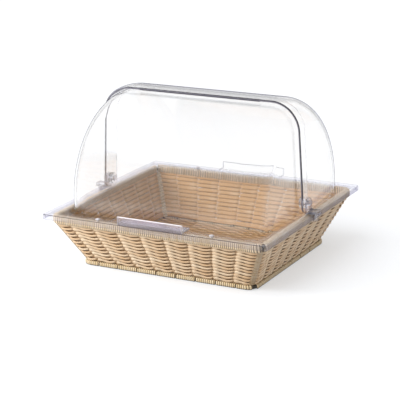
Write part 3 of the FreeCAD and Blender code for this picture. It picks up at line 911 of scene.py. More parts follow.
@dataclass
class WovenFloor:
    """Floor mat in plain weave: strands along X over and under flat spokes along Y."""

    form: BasketForm
    low: float = 2.5
    thickness: float = 4.0
    strand_pitch: float = 5.4
    strand_half: tuple[float, float] = (2.55, 1.3)
    spoke_pitch: float = 15.75
    spoke_half: tuple[float, float] = (3.0, 0.55)
    wave: float = 0.6
    corner: float = 8.0
    seed: int = 77
    tone: float = 0.5
    tone_deviation: float = 0.1
    crease_from: float = 1.75
    crease_fade: float = 1.2
    spoke_tone: float = 0.3
    spoke_crease: float = 0.7

    def build(self, material: bpy.types.Material) -> None:
        """Makes the mat: each strand rides a sine wave over the spokes, the next one its mirror image.

        Args:
            material: Strand finish.
        """
        parts = MeshParts()
        chance = np.random.default_rng(self.seed)
        half_x, half_y = (size / 2 - self.form.foot_width for size in (self.form.foot_length, self.form.foot_depth))
        middle = self.low + self.thickness / 2
        section = rounded_section(2, 2, 2.4, 8)
        run = np.linspace(-half_x, half_x, 150)
        wide, thick = self.strand_half
        rows = int(2 * half_y / self.strand_pitch)
        for row in range(rows):
            y = (row - (rows - 1) / 2) * 2 * half_y / rows
            end = half_x - max(self.corner - (half_y - abs(y)), 0)
            wave = (1 if row % 2 else -1) * self.wave * np.cos(np.pi * run / self.spoke_pitch)
            line = np.column_stack([np.clip(run, -end, end), np.full_like(run, y), middle + wave])
            # Painted shade: darker where a strand dips deep in the mat.
            from_middle = np.abs(wave[:, None] + thick * section[:, 1])
            crease = np.clip((self.crease_from - from_middle) / self.crease_fade, 0, 1)
            parts.add_strand(line, wide * Y, thick * Z, section, run + chance.uniform(0, 800),
                             chance.normal(self.tone, self.tone_deviation), crease)
        along = np.linspace(-half_y, half_y, 60)
        wide, thick = self.spoke_half
        last = int(half_x / self.spoke_pitch)
        for place in range(-last, last + 1):
            line = along[:, None] * Y + place * self.spoke_pitch * X + middle * Z
            # The spokes carry a fixed share of painted shade.
            parts.add_strand(line, wide * X, thick * Z, section, along, self.spoke_tone, self.spoke_crease)
        parts.dress("woven_floor", [material], "base", "woven_strand", "basket_floor")


@dataclass
class WoundBand:
    """Strand wound close round a core that follows a rounded rectangle.

    The surface is a superellipse section carried along the path. Its points sink by a half circle between turns, and
    the turns advance by one pitch in each trip round the section, as a real winding does.
    """

    half_x: float
    half_y: float
    radius: float
    level: float
    width: float
    height: float
    painted_shadow_height: float = 0.0
    pitch: float = 3.1
    groove: float = 0.9
    end_length: float = 0.8
    end_sink: float = 0.9
    steps: int = 7
    count: int = 20
    rod_step: float = 2.5

    @property
    def bend(self) -> float:
        """Length of one corner's arc."""
        return self.radius * math.pi / 2

    @property
    def runs(self) -> tuple[float, float]:
        """Lengths of the straight runs along X and Y."""
        return 2 * (self.half_x - self.radius), 2 * (self.half_y - self.radius)

    @property
    def half_way(self) -> float:
        """Half the path's length."""
        return sum(self.runs) + 2 * self.bend

    def carry(self, distance: np.ndarray, section: np.ndarray) -> np.ndarray:
        """Grid of a section carried along the path.

        Args:
            distance: Distances along the path.
            section: Section for all of them, or one for each.

        Returns:
            Rows along the path, columns round the section.
        """
        place, outward = rounded_path(distance, self.half_x, self.half_y, self.radius)
        flat = place[:, None] + outward[:, None] * section[..., :1]
        return np.concatenate([flat, np.broadcast_to(self.level + section[..., 1:], (*flat.shape[:2], 1))], -1)

    def add(self, parts: MeshParts, start: float, end: float) -> None:
        """Adds the winding between two distances along the path, closing in at both by a quarter circle.

        Args:
            parts: Where it goes.
            start: First distance.
            end: Last distance.
        """
        rows = max(int((end - start) / self.pitch * self.steps), 4)
        distance = np.linspace(start, end, rows)
        section = np.roll(rounded_section(self.width, self.height, 3.4, self.count), self.count // 4, axis=0)
        turn = distance[:, None] / self.pitch + np.arange(self.count) / self.count
        from_end = np.minimum(np.minimum(distance - start, end - distance) / self.end_length, 1)[:, None]
        sink = self.groove * groove_profile(turn) - self.end_sink * (1 - np.sqrt(1 - (1 - from_end) ** 2))
        scale = 1 + sink / np.linalg.norm(section, axis=-1)
        parts.add_grid(self.carry(distance, section * scale[..., None]), close_columns=True, caps=True,
                       turn=turn + 0.001)
        # Faces near the bottom take the second slot: painted shadow where the foot stands on the floor.
        low = (section[:, 1] + np.roll(section[:, 1], -1)) / 2 < self.painted_shadow_height - self.height / 2
        parts.slots[-2 - (rows - 1) * self.count:-2] = np.tile(low.astype(int), rows - 1).tolist()

    def add_rod(self, parts: MeshParts, width: float, height: float) -> None:
        """Adds the closed rod inside the winding.

        Args:
            parts: Where it goes.
            width: Rod width.
            height: Rod height.
        """
        distance = np.arange(0, 2 * self.half_way, self.rod_step)
        parts.add_grid(self.carry(distance, rounded_section(width, height, 2.2, 14)), close_rows=True,
                       close_columns=True)


@dataclass
class Bands:
    """The wound rim and foot of the basket, with their steel hoops."""

    form: BasketForm
    rim_bare: tuple[float, float] = (0.5, 0.75)
    foot_bare: tuple[float, float] = (0.47, 0.82)
    slit: float = 0.7
    # Height of the painted shadow under the foot.
    painted_shadow_height: float = 1.8

    def band(self, length: float, depth: float, width: float, *sizes: float) -> WoundBand:
        """Winding within an outer length and depth, with its level, width, height and the height of its painted shadow
        as sizes.
        """
        return WoundBand((length - width) / 2, (depth - width) / 2, self.form.corner - width / 2, *sizes)

    def rim(self) -> WoundBand:
        """Winding of the rim."""
        form = self.form
        return self.band(form.rim_length, form.rim_depth, form.rim_width, form.rim_middle, form.rim_width,
                         form.rim_height)

    def foot(self) -> WoundBand:
        """Winding of the foot."""
        form = self.form
        return self.band(form.foot_length, form.foot_depth, form.foot_width, form.foot_height / 2, form.foot_width,
                         form.foot_height, self.painted_shadow_height)

    def build_rim(self, material: bpy.types.Material) -> None:
        """Makes the two stretches of rim winding, with the hoop bare on two opposite corners' arcs.

        Args:
            material: Wound finish.
        """
        band = self.rim()
        run_x, run_y = band.runs
        start, end = -((2 - self.rim_bare[1]) * band.bend + run_y), run_x + self.rim_bare[0] * band.bend
        for name, offset in (("front_left", 0.0), ("rear_right", band.half_way)):
            parts = MeshParts()
            band.add(parts, start + offset, end + offset)
            parts.dress(f"rim_winding_{name}", [material], "base", "wrapped_strand", f"rim_wrap_{name}")

    def build_foot(self, materials: list[bpy.types.Material]) -> None:
        """Makes the foot's winding in lengths between the stakes.

        Args:
            materials: Wound finish, and a dark one for the painted shadow where it stands.
        """
        band = self.foot()
        run_x, run_y = band.runs
        front = self.form.stakes(Side.FRONT) + run_x / 2
        left = self.form.stakes(Side.LEFT) - band.bend - run_y / 2
        cuts = [-(2 - self.foot_bare[1]) * band.bend - run_y - self.slit, *left, *front,
                run_x + self.foot_bare[0] * band.bend + self.slit]
        lengths = [(a + self.slit, b - self.slit) for a, b in zip(cuts[:-1], cuts[1:])]
        on_side, on_front = lengths[:len(left) + 1], lengths[len(left) + 1:]
        for name, group, offset in (("left", on_side, 0.0), ("front", on_front, 0.0),
                                    ("right", on_side, band.half_way), ("rear", on_front, band.half_way)):
            parts = MeshParts()
            for start, end in group:
                band.add(parts, start + offset, end + offset)
            parts.dress(f"foot_winding_{name}", materials, "base", "wrapped_strand", f"foot_wraps_{name}")

    def build_hoops(self, material: bpy.types.Material) -> None:
        """Makes the steel hoops inside the two windings.

        Args:
            material: Steel finish.
        """
        for name, band, size in (("rim", self.rim(), (5.8, 5.8)), ("foot", self.foot(), (5.8, 5.4))):
            parts = MeshParts()
            band.add_rod(parts, *size)
            parts.dress(f"steel_hoop_{name}", [material], "base", "hoop_steel", f"{name}_hoop")


@dataclass
class CornerPost:
    """Corner post with strand wound round it at a slant."""

    form: BasketForm
    sign_x: int
    sign_y: int
    radius: float = 4.9
    core: float = 5.0
    proud: float = 2.0
    pitch: float = 2.1
    groove: float = 0.4
    starts: int = 3
    excess: float = 0.1
    count: int = 28

    def build(self, material: bpy.types.Material) -> None:
        """Makes the post: a ribbed tube along the corner's line, its ribs a helix of several starts.

        Args:
            material: Wound finish.
        """
        form = self.form
        levels = np.linspace(form.weave_low - self.excess, form.top + self.excess, 240)
        half_x, half_y = form.half_sizes(Side.FRONT, levels)
        inset = form.corner - (form.corner + self.proud - self.core) * math.sqrt(0.5)
        centre = np.stack([self.sign_x * (half_x - inset), self.sign_y * (half_y - inset), levels], -1)
        share = np.arange(self.count) / self.count
        angle = 2 * np.pi * share[:, None] + math.atan2(-self.sign_y, -self.sign_x)
        turn = levels[:, None] / self.pitch + self.starts * share
        radius = self.radius + self.groove * groove_profile(turn)
        parts = MeshParts()
        parts.add_grid(centre[:, None] + radius[..., None] * (np.cos(angle) * X + np.sin(angle) * Y),
                       close_columns=True, caps=True, turn=turn)
        name = f"{'front' if self.sign_y < 0 else 'rear'}_{'left' if self.sign_x < 0 else 'right'}"
        parts.dress(f"wound_post_{name}", [material], "base", "wrapped_strand", f"corner_post_{name}")


# Clear pieces

HINGE = 97.0
FRAME_TOP = 82.5


class Clear(Enum):
    """Looks of the clear plastic, by where it is."""

    COVER = Polycarbonate()
    FLANGE = Polycarbonate("clear_frame_polycarbonate", face="FBFBFD", edge="B4B2BC", edge_from=0.82, straight=0.85)
    SKIRT = Polycarbonate("clear_skirt_polycarbonate", face="F3F3F7", edge="D4D3DE", edge_from=0.3, straight=0.85,
                          milk=0.18)
    # Painted shade: the dark line along the frame's outer top edge in front.
    BEVEL = Polycarbonate("painted_shade_front_edge_polycarbonate", face="7C7987", edge="55525F", edge_from=0.3, straight=0.6)
    MOULDED_EDGE = Polycarbonate("polycarbonate_moulded_edge", face="EDEDF1", edge="D2D1D8", edge_from=0.3,
                                 straight=0.7)
    BRACKET = Polycarbonate("clear_hinge_polycarbonate", face="F6F6F9", edge="7A7886", edge_from=0.55, straight=0.75,
                            milk=0.04)
    SATIN = Polycarbonate("satin_polycarbonate", face="F1EDF4", edge="A9A6B4", edge_from=0.75, roughness=0.2,
                          straight=0.5, milk=0.2)
    THIN = Polycarbonate("thin_handle_polycarbonate", face="FFFFFF", edge="C9C8D0", edge_from=0.85, straight=0.85)
    # Painted highlight on a handle's top and ends, painted shadow line along its foot, painted grey outline on the
    # rear one.
    HANDLE_TOP = Polycarbonate("painted_highlight_handle_top_polycarbonate", face="FDF9FB", edge="E4DEE4", roughness=0.3, milk=0.75)
    HANDLE_FOOT = Polycarbonate("painted_shadow_handle_foot_polycarbonate", face="A7A2AD", edge="8F8A96", edge_from=0.3)
    HANDLE_OUTLINE = Polycarbonate("painted_shade_handle_outline_polycarbonate", face="D6D5DC", edge="A4A3AD", edge_from=0.5,
                                   straight=0.7)


@dataclass
class FrameMoulding:
    """Clear frame: flange, down-turned skirt and a lip inside the rim, as one moulding.

    Its section is a list of stations, each with its own half length, half depth, corner radius and height, and the
    surface joins the rounded rectangles of neighbouring stations.
    """

    length: float = 354.0
    depth: float = 325.0
    flange: float = 2.5
    skirt_height: float = 7.5
    skirt: float = 2.4
    corner: float = 5.0
    opening_length: float = 310.0
    opening_depth: float = 277.0
    opening_radius: float = 25.0
    lip: float = 2.0
    lip_height: float = 7.0
    edge: float = 0.9
    small_edge: float = 0.35
    least_corner: float = 0.3

    def stations(self) -> np.ndarray:
        """Section's stations: quarter bends about points inside the section, and two plain corners under the flange.

        Returns:
            Rows of half length, half depth, corner radius and height, closed round the section.
        """
        outer = (self.length / 2, self.depth / 2, self.corner)
        inner = (self.opening_length / 2, self.opening_depth / 2, self.opening_radius)
        under, edge, small = FRAME_TOP - self.flange, self.edge, self.small_edge
        skirt_bend, lip_bend = FRAME_TOP - self.skirt_height + small, under - self.lip_height + small
        bends = ((outer, small, skirt_bend, -90, small, 4), (outer, edge, FRAME_TOP - edge, 0, edge, 6),
                 (inner, -edge, FRAME_TOP - edge, 90, edge, 6), (inner, -small, lip_bend, 180, small, 4),
                 (inner, small - self.lip, lip_bend, -90, small, 4), (inner, -self.lip, under, 0, 0.0, 1),
                 (outer, self.skirt, under, 0, 0.0, 1), (outer, self.skirt - small, skirt_bend, 180, small, 4))
        rows = []
        for base, inwards, level, start, radius, steps in bends:
            for angle in np.radians(np.linspace(start, start + 90, steps)):
                shift = inwards - radius * math.cos(angle)
                rows.append((base[0] - shift, base[1] - shift, max(base[2] - shift, self.least_corner),
                             level + radius * math.sin(angle)))
        return np.array(rows)

    def build(self, materials: list[bpy.types.Material]) -> None:
        """Makes the frame.

        Args:
            materials: Finishes of the flange and lip, of the skirt, and of the outer top edge: painted shade as a dark
                line in front, and a pale edge elsewhere.
        """
        rings = []
        steps = np.linspace(0, 1, 11)[:-1]
        for half_x, half_y, radius, level in self.stations():
            distances = []
            start, bend = 0.0, radius * math.pi / 2
            for half in (half_x, half_y, half_x, half_y):
                straight = 2 * (half - radius)
                distances.extend([start, start + straight / 2, *(start + straight + bend * steps)])
                start += straight + bend
            place, _ = rounded_path(np.array(distances), half_x, half_y, radius)
            rings.append(np.column_stack([place, np.full(len(place), level)]))
        parts = MeshParts()
        parts.add_grid(np.array(rings), close_rows=True, close_columns=True)
        skirt, top_edge, front_start, front_end = [*range(4), *range(25, 30)], slice(4, 9), 44, 3
        slots = np.zeros((len(rings), len(rings[0])), int)
        slots[skirt] = 1
        slots[top_edge] = 3
        # Painted shade: the outer top edge is dark only along the front.
        slots[top_edge, :front_end] = slots[top_edge, front_start:] = 2
        parts.slots = slots.ravel().tolist()
        parts.dress("frame_moulding", materials, "base", "clear_plastic", "clear_frame", sharp=30)


@dataclass
class CoverShell:
    """Quarter-round clear cover: a drafted shell of revolution, cut by the frame's plane and past the crown.

    Across the shell the profile runs from one hub over the crown to the other. Round the hinge each profile point
    turns from the lower edge to the cut past the crown, and both limits depend on its distance from the hinge.
    """

    name: str
    facing: int
    length: float
    radius: float
    corner: float
    boss: float
    wall: float = 3.0
    draft: float = 3.0
    hub: float = 12.0
    hub_flat: float = 11.5
    bore: float = 3.05
    boss_radius: float = 8.0
    boss_edge: float = 0.4
    overlap: float = 12.2
    drop: float = 14.1
    around: int = 72
    pale_share: float = 0.42

    def profile(self, inside: bool) -> np.ndarray:
        """Profile from the heel's circle on the left to the one on the right.

        Args:
            inside: True for the inner surface.

        Returns:
            Rows of station along the hinge and distance from it.
        """
        thin = self.wall if inside else 0.0
        half, crown, corner = self.length / 2 - thin, self.radius - thin, self.corner - thin
        lean = math.radians(self.draft)
        centre_out = crown - corner
        centre_x = -half + (centre_out - self.hub) * math.tan(lean) + corner / math.cos(lean)
        out = np.linspace(self.drop, centre_out + corner * math.sin(lean), 12)[:-1]
        wall = np.column_stack([-half + (out - self.hub) * math.tan(lean), out])
        angle = np.linspace(math.pi - lean, math.pi / 2, 22)
        bend = np.column_stack([centre_x + corner * np.cos(angle), centre_out + corner * np.sin(angle)])
        left = np.vstack([wall, bend])
        flat = np.column_stack([np.linspace(left[-1, 0], -left[-1, 0], 9)[1:-1], np.full(7, crown)])
        return np.vstack([left, flat, left[::-1] * [-1, 1]])

    def limits(self, out: np.ndarray | float) -> tuple[np.ndarray, np.ndarray]:
        """Angles of the lower edge and of the cut past the crown.

        Args:
            out: Distances from the hinge line.

        Returns:
            First and last angle above the serving direction, in radians.
        """
        return -np.arcsin(np.clip(self.drop / out, -1, 1)), np.pi / 2 + np.arcsin(np.clip(self.overlap / out, -1, 1))

    def place(self, station: np.ndarray | float, out: np.ndarray | float, angle: np.ndarray) -> np.ndarray:
        """Points from station along the hinge, distance from it and angle above the serving direction."""
        across = -self.facing * out * np.cos(angle)
        return np.stack([np.broadcast_to(station, across.shape), across, HINGE + out * np.sin(angle)], -1)

    def sheet(self, inside: bool) -> np.ndarray:
        """Grid of the shell's surface.

        Args:
            inside: True for the inner surface.

        Returns:
            Rows along the profile, columns by angle, spaced evenly between the limits.
        """
        profile = self.profile(inside)
        first, last = self.limits(profile[:, 1:])
        return self.place(profile[:, :1], profile[:, 1:], blend(first, last, np.linspace(0, 1, self.around + 1)))

    def hub_disc(self, side: int, inside: bool) -> np.ndarray:
        """Grid of the end wall between the bore and the shell's heel.

        Args:
            side: -1 for the left end, 1 for the right end.
            inside: True for the inner surface.

        Returns:
            Rows from the bore outwards, columns round the hinge.
        """
        first, last = self.limits(self.drop)
        low = 2 * np.pi - last
        angle = np.concatenate([np.linspace(first, last, self.around + 1), np.linspace(last, low, 9)[1:-1],
                                np.linspace(low, 2 * np.pi + first, 13)[:-1]])
        heel = (angle > last + 1e-9) & (angle < low - 1e-9)
        reach = np.where(heel, self.overlap / np.abs(np.cos(angle)), self.drop)
        half = self.length / 2 - (self.wall if inside else 0.0)
        rows = [(half, self.bore), (half, self.hub_flat),
                (half - (self.drop - self.hub) * math.tan(math.radians(self.draft)), reach)]
        if inside:
            boss = half - self.boss
            rows[:1] = [(boss, self.bore), (boss, self.boss_radius - self.boss_edge),
                        (boss + self.boss_edge, self.boss_radius), (half, self.boss_radius)]
        return np.array([self.place(station, out, angle) for station, out in rows]) * [side, 1, 1]

    def add_cut(self, parts: MeshParts, outer: np.ndarray, inner: np.ndarray) -> None:
        """Adds a cut edge, pale in its outer share and dark within.

        Args:
            parts: Where it goes.
            outer: Row of points where the outer surface ends.
            inner: Row of points where the inner surface ends.
        """
        middle = blend(outer, inner, self.pale_share)
        parts.add_grid(np.array([outer, middle]), slot=2)
        parts.add_grid(np.array([middle, inner]), slot=1)

    def build(self, materials: list[bpy.types.Material]) -> None:
        """Makes the shell: outer and inner surfaces, hubs, and the cut edges that join them.

        Args:
            materials: Clear finish, and the finishes of the dark and the pale share of its edges.
        """
        parts = MeshParts()
        outer, inner = self.sheet(False), self.sheet(True)
        parts.add_grid(outer)
        parts.add_grid(inner)
        parts.add_grid(np.array([outer[:, 0], inner[:, 0]]), slot=2)
        self.add_cut(parts, outer[:, -1], inner[:, -1])
        for side in (-1, 1):
            outside, within = self.hub_disc(side, False), self.hub_disc(side, True)
            for grid in (outside, within, np.array([outside[0], within[0]])):
                parts.add_grid(grid, close_columns=True)
            edge = np.arange(self.around, outside.shape[1] + 1) % outside.shape[1]
            self.add_cut(parts, outside[-1][edge], within[-1][edge])
        parts.dress(f"{self.name}_shell", materials, self.name, "clear_plastic", self.name, weld=True, sharp=35)


@dataclass
class Covers:
    """The two covers on one hinge line, the front one inside the rear one."""

    gap: float = 3.0
    wall: float = 3.0
    radius: float = 146.5
    length: float = 327.5
    corner: float = 44.0
    side_gap: float = 0.25
    inner_boss: float = 2.0
    lip_length: float = 194.0
    lip_depth: float = 1.3
    lip_width: float = 3.0
    lip_sunk: float = 0.2

    def rear(self) -> CoverShell:
        """Outer cover."""
        return CoverShell("rear_cover", -1, self.length, self.radius, self.corner, self.gap - self.side_gap)

    def front(self) -> CoverShell:
        """Inner cover, on the serving side."""
        less = self.wall + self.gap
        return CoverShell("front_cover", 1, self.length - 2 * less, self.radius - less, self.corner - less,
                          self.inner_boss)

    def build(self, clear: bpy.types.Material, dark_edge: bpy.types.Material,
              pale_edge: bpy.types.Material) -> None:
        """Makes both shells and the stiffening lip under the outer one's leading edge.

        Args:
            clear: Clear finish.
            dark_edge: Finish of the lip, and of the inner share of the outer cover's cut past the crown.
            pale_edge: Finish of the other edges.
        """
        outer = self.rear()
        outer.build([clear, dark_edge, pale_edge])
        self.front().build([clear, pale_edge, pale_edge])
        crown = HINGE + outer.radius - outer.wall
        back, front = -outer.overlap, self.lip_width - outer.overlap
        low, high = crown - self.lip_depth, crown + self.lip_sunk
        parts = MeshParts()
        outline = rounded_corners([(back, low, 0.6), (front, low, 0.6), (front, high, 0.2), (back, high, 0.2)])
        parts.add_prism(outline, -self.lip_length / 2, self.lip_length / 2, 0.5, (Y, Z, X))
        parts.dress("rear_cover_lip", [dark_edge], "rear_cover", "clear_plastic", sharp=40)


@dataclass
class Handle:
    """Handle bonded to a cover's lower edge: a plate, an upright lip and a raised grip rib."""

    name: str
    facing: int
    cover_radius: float
    length: float = 102.0
    reach: float = 163.5
    plate: float = 2.8
    lip: float = 3.4
    height: float = 12.0
    foot: float = 82.9
    rounding: float = 1.0
    bond: float = 0.1
    grip_length: float = 48.0
    grip_height: float = 2.4
    grip_relief: float = 0.8
    grip_sunk: float = 0.6

    def build(self, materials: list[bpy.types.Material]) -> None:
        """Makes the handle: an L-shaped outline carried along the hinge's direction, and the rib.

        Args:
            materials: Finishes of the faces, of the top and the ends, and of the foot. On the front handle the top and
                the ends
        carry a painted highlight and the foot a painted shadow line; on the rear one the top and the ends carry a
        painted grey outline.
        """
        top, floor = self.foot + self.height, self.foot + self.plate
        meet = math.sqrt(self.cover_radius ** 2 - (HINGE - self.foot - self.plate / 2) ** 2) + self.bond
        outline = rounded_corners([
            (-self.reach, self.foot, 0.5), (-meet, self.foot, 0.2), (-meet, floor, 0.2),
            (self.lip - self.reach, floor, 1.2), (self.lip - self.reach, top, self.rounding),
            (-self.reach, top, self.rounding)])
        high = top - self.rounding
        low, out, back = high - self.grip_height, -self.reach - self.grip_relief, self.grip_sunk - self.reach
        rib = rounded_corners([(out, low, 0.35), (back, low, 0.1), (back, high, 0.1), (out, high, 0.35)])
        parts = MeshParts()
        for shape, length, bevel in ((outline, self.length, 0.5), (rib, self.grip_length, 0.3)):
            parts.add_prism(shape, -length / 2, length / 2, bevel, (self.facing * Y, Z, X))
        centres = np.array([points.mean(axis=0) for points in parts.face_points()])
        level, along = centres[:, 2], np.abs(centres[:, 0])
        # Top and end faces take the second finish and the foot the third: a painted highlight and a painted shadow
        # line on the front handle, a painted grey outline on the rear one.
        top_and_ends = (level > top - 0.8) | (along > self.length / 2 - 0.4) & (level > floor)
        parts.slots = np.where(top_and_ends, 1, np.where(level < self.foot + 0.6, 2, 0)).tolist()
        parts.dress(f"{self.name}_bar", materials, self.name.replace("handle", "cover"), "clear_plastic", self.name,
                    sharp=35)


@dataclass
class HingeHardware:
    """Clip-on bracket and pin of one end."""

    side: int
    frame_half: float = 177.0
    seat_gap: float = 0.02
    ear_inside: float = 164.15
    ear_thickness: float = 4.0
    ear_radius: float = 8.0
    clip_half: float = 5.5
    clip_height: float = 5.6
    clip_reach: float = 184.2
    clip_sunk: float = 0.3
    hook_wall: float = 3.0
    hook_low: float = 72.6
    barb: float = 2.4
    barb_top: float = 74.8
    gusset_length: float = 7.2
    gusset_half: float = 1.0
    gap: float = 0.2
    pin_radius: float = 3.0
    pin_play: float = 0.02
    head_radius: float = 4.6
    head_face: float = 152.55
    tail_gap: float = 0.05

    @property
    def out(self) -> np.ndarray:
        """Direction along the hinge, away from the middle."""
        return self.side * X

    @property
    def word(self) -> str:
        """The end's name."""
        return "left" if self.side < 0 else "right"

    def build_bracket(self, materials: list[bpy.types.Material]) -> None:
        """Makes the bracket: an ear round the pin, a clip over the frame's edge with a barb, and a gusset.

        Args:
            materials: Clear finish, and a dark finish for the face on the frame, a painted contact shadow.
        """
        angle = np.linspace(0, math.pi, 17)
        seat, top = FRAME_TOP + self.seat_gap, FRAME_TOP + self.clip_height
        ear = np.vstack([[[-self.ear_radius, seat], [self.ear_radius, seat]],
                         self.ear_radius * np.column_stack([np.cos(angle), np.sin(angle)]) + [0, HINGE]])
        start, inside = self.ear_inside + self.ear_thickness - self.clip_sunk, self.frame_half + self.gap
        hook, barb = inside + self.hook_wall, inside - self.barb
        clip = rounded_corners([
            (start, seat, 0.1), (inside, seat, 0.1), (inside, self.barb_top, 0.1), (barb, self.barb_top, 0.4),
            (barb, self.hook_low, 0.5), (hook, self.hook_low, 0.8), (hook, FRAME_TOP, 0.3),
            (self.clip_reach, FRAME_TOP, 0.5), (self.clip_reach, top, 1.0), (start, top, 0.2)])
        sunk = top - self.clip_sunk
        gusset = rounded_corners([(start, sunk, 0.05), (start + self.gusset_length, sunk, 0.3),
                                  (start, HINGE - self.head_radius, 0.3)])
        parts = MeshParts()
        parts.add_prism(ear, self.ear_inside, self.ear_inside + self.ear_thickness, 0.6, (Y, Z, self.out))
        parts.add_prism(clip, -self.clip_half, self.clip_half, 0.5, (self.out, Z, Y))
        parts.add_prism(gusset, -self.gusset_half, self.gusset_half, 0.2, (self.out, Z, Y))
        # The face that sits on the frame takes the dark finish: painted contact shadow.
        parts.slots = [int(np.abs(points[:, 2] - seat).max() < 0.1) for points in parts.face_points()]
        parts.dress(f"hinge_clip_{self.word}", materials, "base", "clear_plastic", f"hinge_bracket_{self.word}",
                    weld=True, sharp=35)

    def build_pin(self, materials: list[bpy.types.Material]) -> None:
        """Makes the pin: a domed head inside the covers, a shank, and an outer head with a dot in it.

        Args:
            materials: Clear finish, and the finish of the dot.
        """
        head, tail = self.head_face, self.ear_inside + self.ear_thickness + self.tail_gap
        shank, rim = self.pin_radius - self.pin_play, self.head_radius
        profile = np.array([
            (0.01, head - 2.2), (2.6, head - 2.05), (3.9, head - 1.6), (rim, head - 0.7), (rim, head), (shank, head),
            (shank, tail), (rim, tail), (rim, tail + 0.6), (3.9, tail + 1.2), (2.4, tail + 1.55), (0.01, tail + 1.6)])
        dot = np.array([(0.01, 1.2), (1.3, 1.25), (1.3, 1.62), (1.0, 1.72), (0.01, 1.75)]) + [0, tail]
        parts = MeshParts()
        parts.add_turned(profile, HINGE * Z, self.out)
        parts.add_turned(dot, HINGE * Z, self.out, count=16, slot=1)
        parts.dress(f"pin_{self.word}", materials, "base", "pin_plastic", f"hinge_pin_{self.word}", sharp=50)


@dataclass
class Rivets:
    """Four domed snap rivets through the flange into the rim."""

    x: float = 90.0
    y: float = 150.5
    radius: float = 3.6
    height: float = 1.8
    brim: float = 0.3
    shank: float = 1.45
    length: float = 4.6

    def build(self, material: bpy.types.Material) -> None:
        """Makes the rivets: a dome whose height falls with the square of the radius, over a plain shank.

        Args:
            material: Rivet finish.
        """
        share = np.linspace(1, 0, 7)
        dome = np.column_stack([np.maximum(self.radius * share, 0.01),
                                self.brim + (self.height - self.brim) * (1 - share ** 2)])
        profile = np.vstack([[(0.01, -self.length), (self.shank, 0.3 - self.length), (self.shank, 0),
                              (self.radius, 0)], dome])
        for x, word_x in ((-self.x, "left"), (self.x, "right")):
            for y, word_y in ((-self.y, "front"), (self.y, "rear")):
                parts = MeshParts()
                parts.add_turned(profile, np.array([x, y, FRAME_TOP]), Z, count=20)
                parts.dress(f"rivet_{word_y}_{word_x}", [material], "base", "rivet_plastic",
                            f"frame_rivet_{word_y}_{word_x}", sharp=50)


# Studio

def seen(tree: bpy.types.NodeTree) -> bpy.types.NodeSocket:
    """1 for a ray that shows a place to the eye, straight, mirrored or through clear plastic; 0 for one that lights.

    Args:
        tree: Node tree.

    Returns:
        The number.
    """
    light = add_node(tree, "LightPath").outputs
    shows = calc(tree, "MAXIMUM", light["Is Camera Ray"], light["Is Glossy Ray"])
    shows = calc(tree, "MAXIMUM", shows, light["Is Transmission Ray"])
    return calc(tree, "SUBTRACT", shows, light["Diffuse Depth"], clamp=True)


@dataclass(frozen=True)
class MattFloor(Finish):
    """Matt floor that is seen white and throws little light back."""

    name: str = "pale_matt_floor"
    pale: str = "C0C4C9"
    bounce: str = "A6A099"
    glow: float = 0.45

    def surface(self, tree: bpy.types.NodeTree) -> bpy.types.NodeSocket:
        """One matt colour for the eye, with a glow, and another for the light that it throws back.

        Args:
            tree: Node tree of the material.

        Returns:
            The shader's output.
        """
        pale = add_node(tree, "BsdfDiffuse", {"Color": linear(self.pale)})
        bounce = add_node(tree, "BsdfDiffuse", {"Color": linear(self.bounce)})
        glow = add_node(tree, "Emission", {"Color": linear("FFFFFF"), "Strength": self.glow})
        white = add_node(tree, "AddShader", {0: pale.outputs[0], 1: glow.outputs[0]})
        return add_node(tree, "MixShader", {0: seen(tree), 1: bounce.outputs[0], 2: white.outputs[0]}).outputs[0]


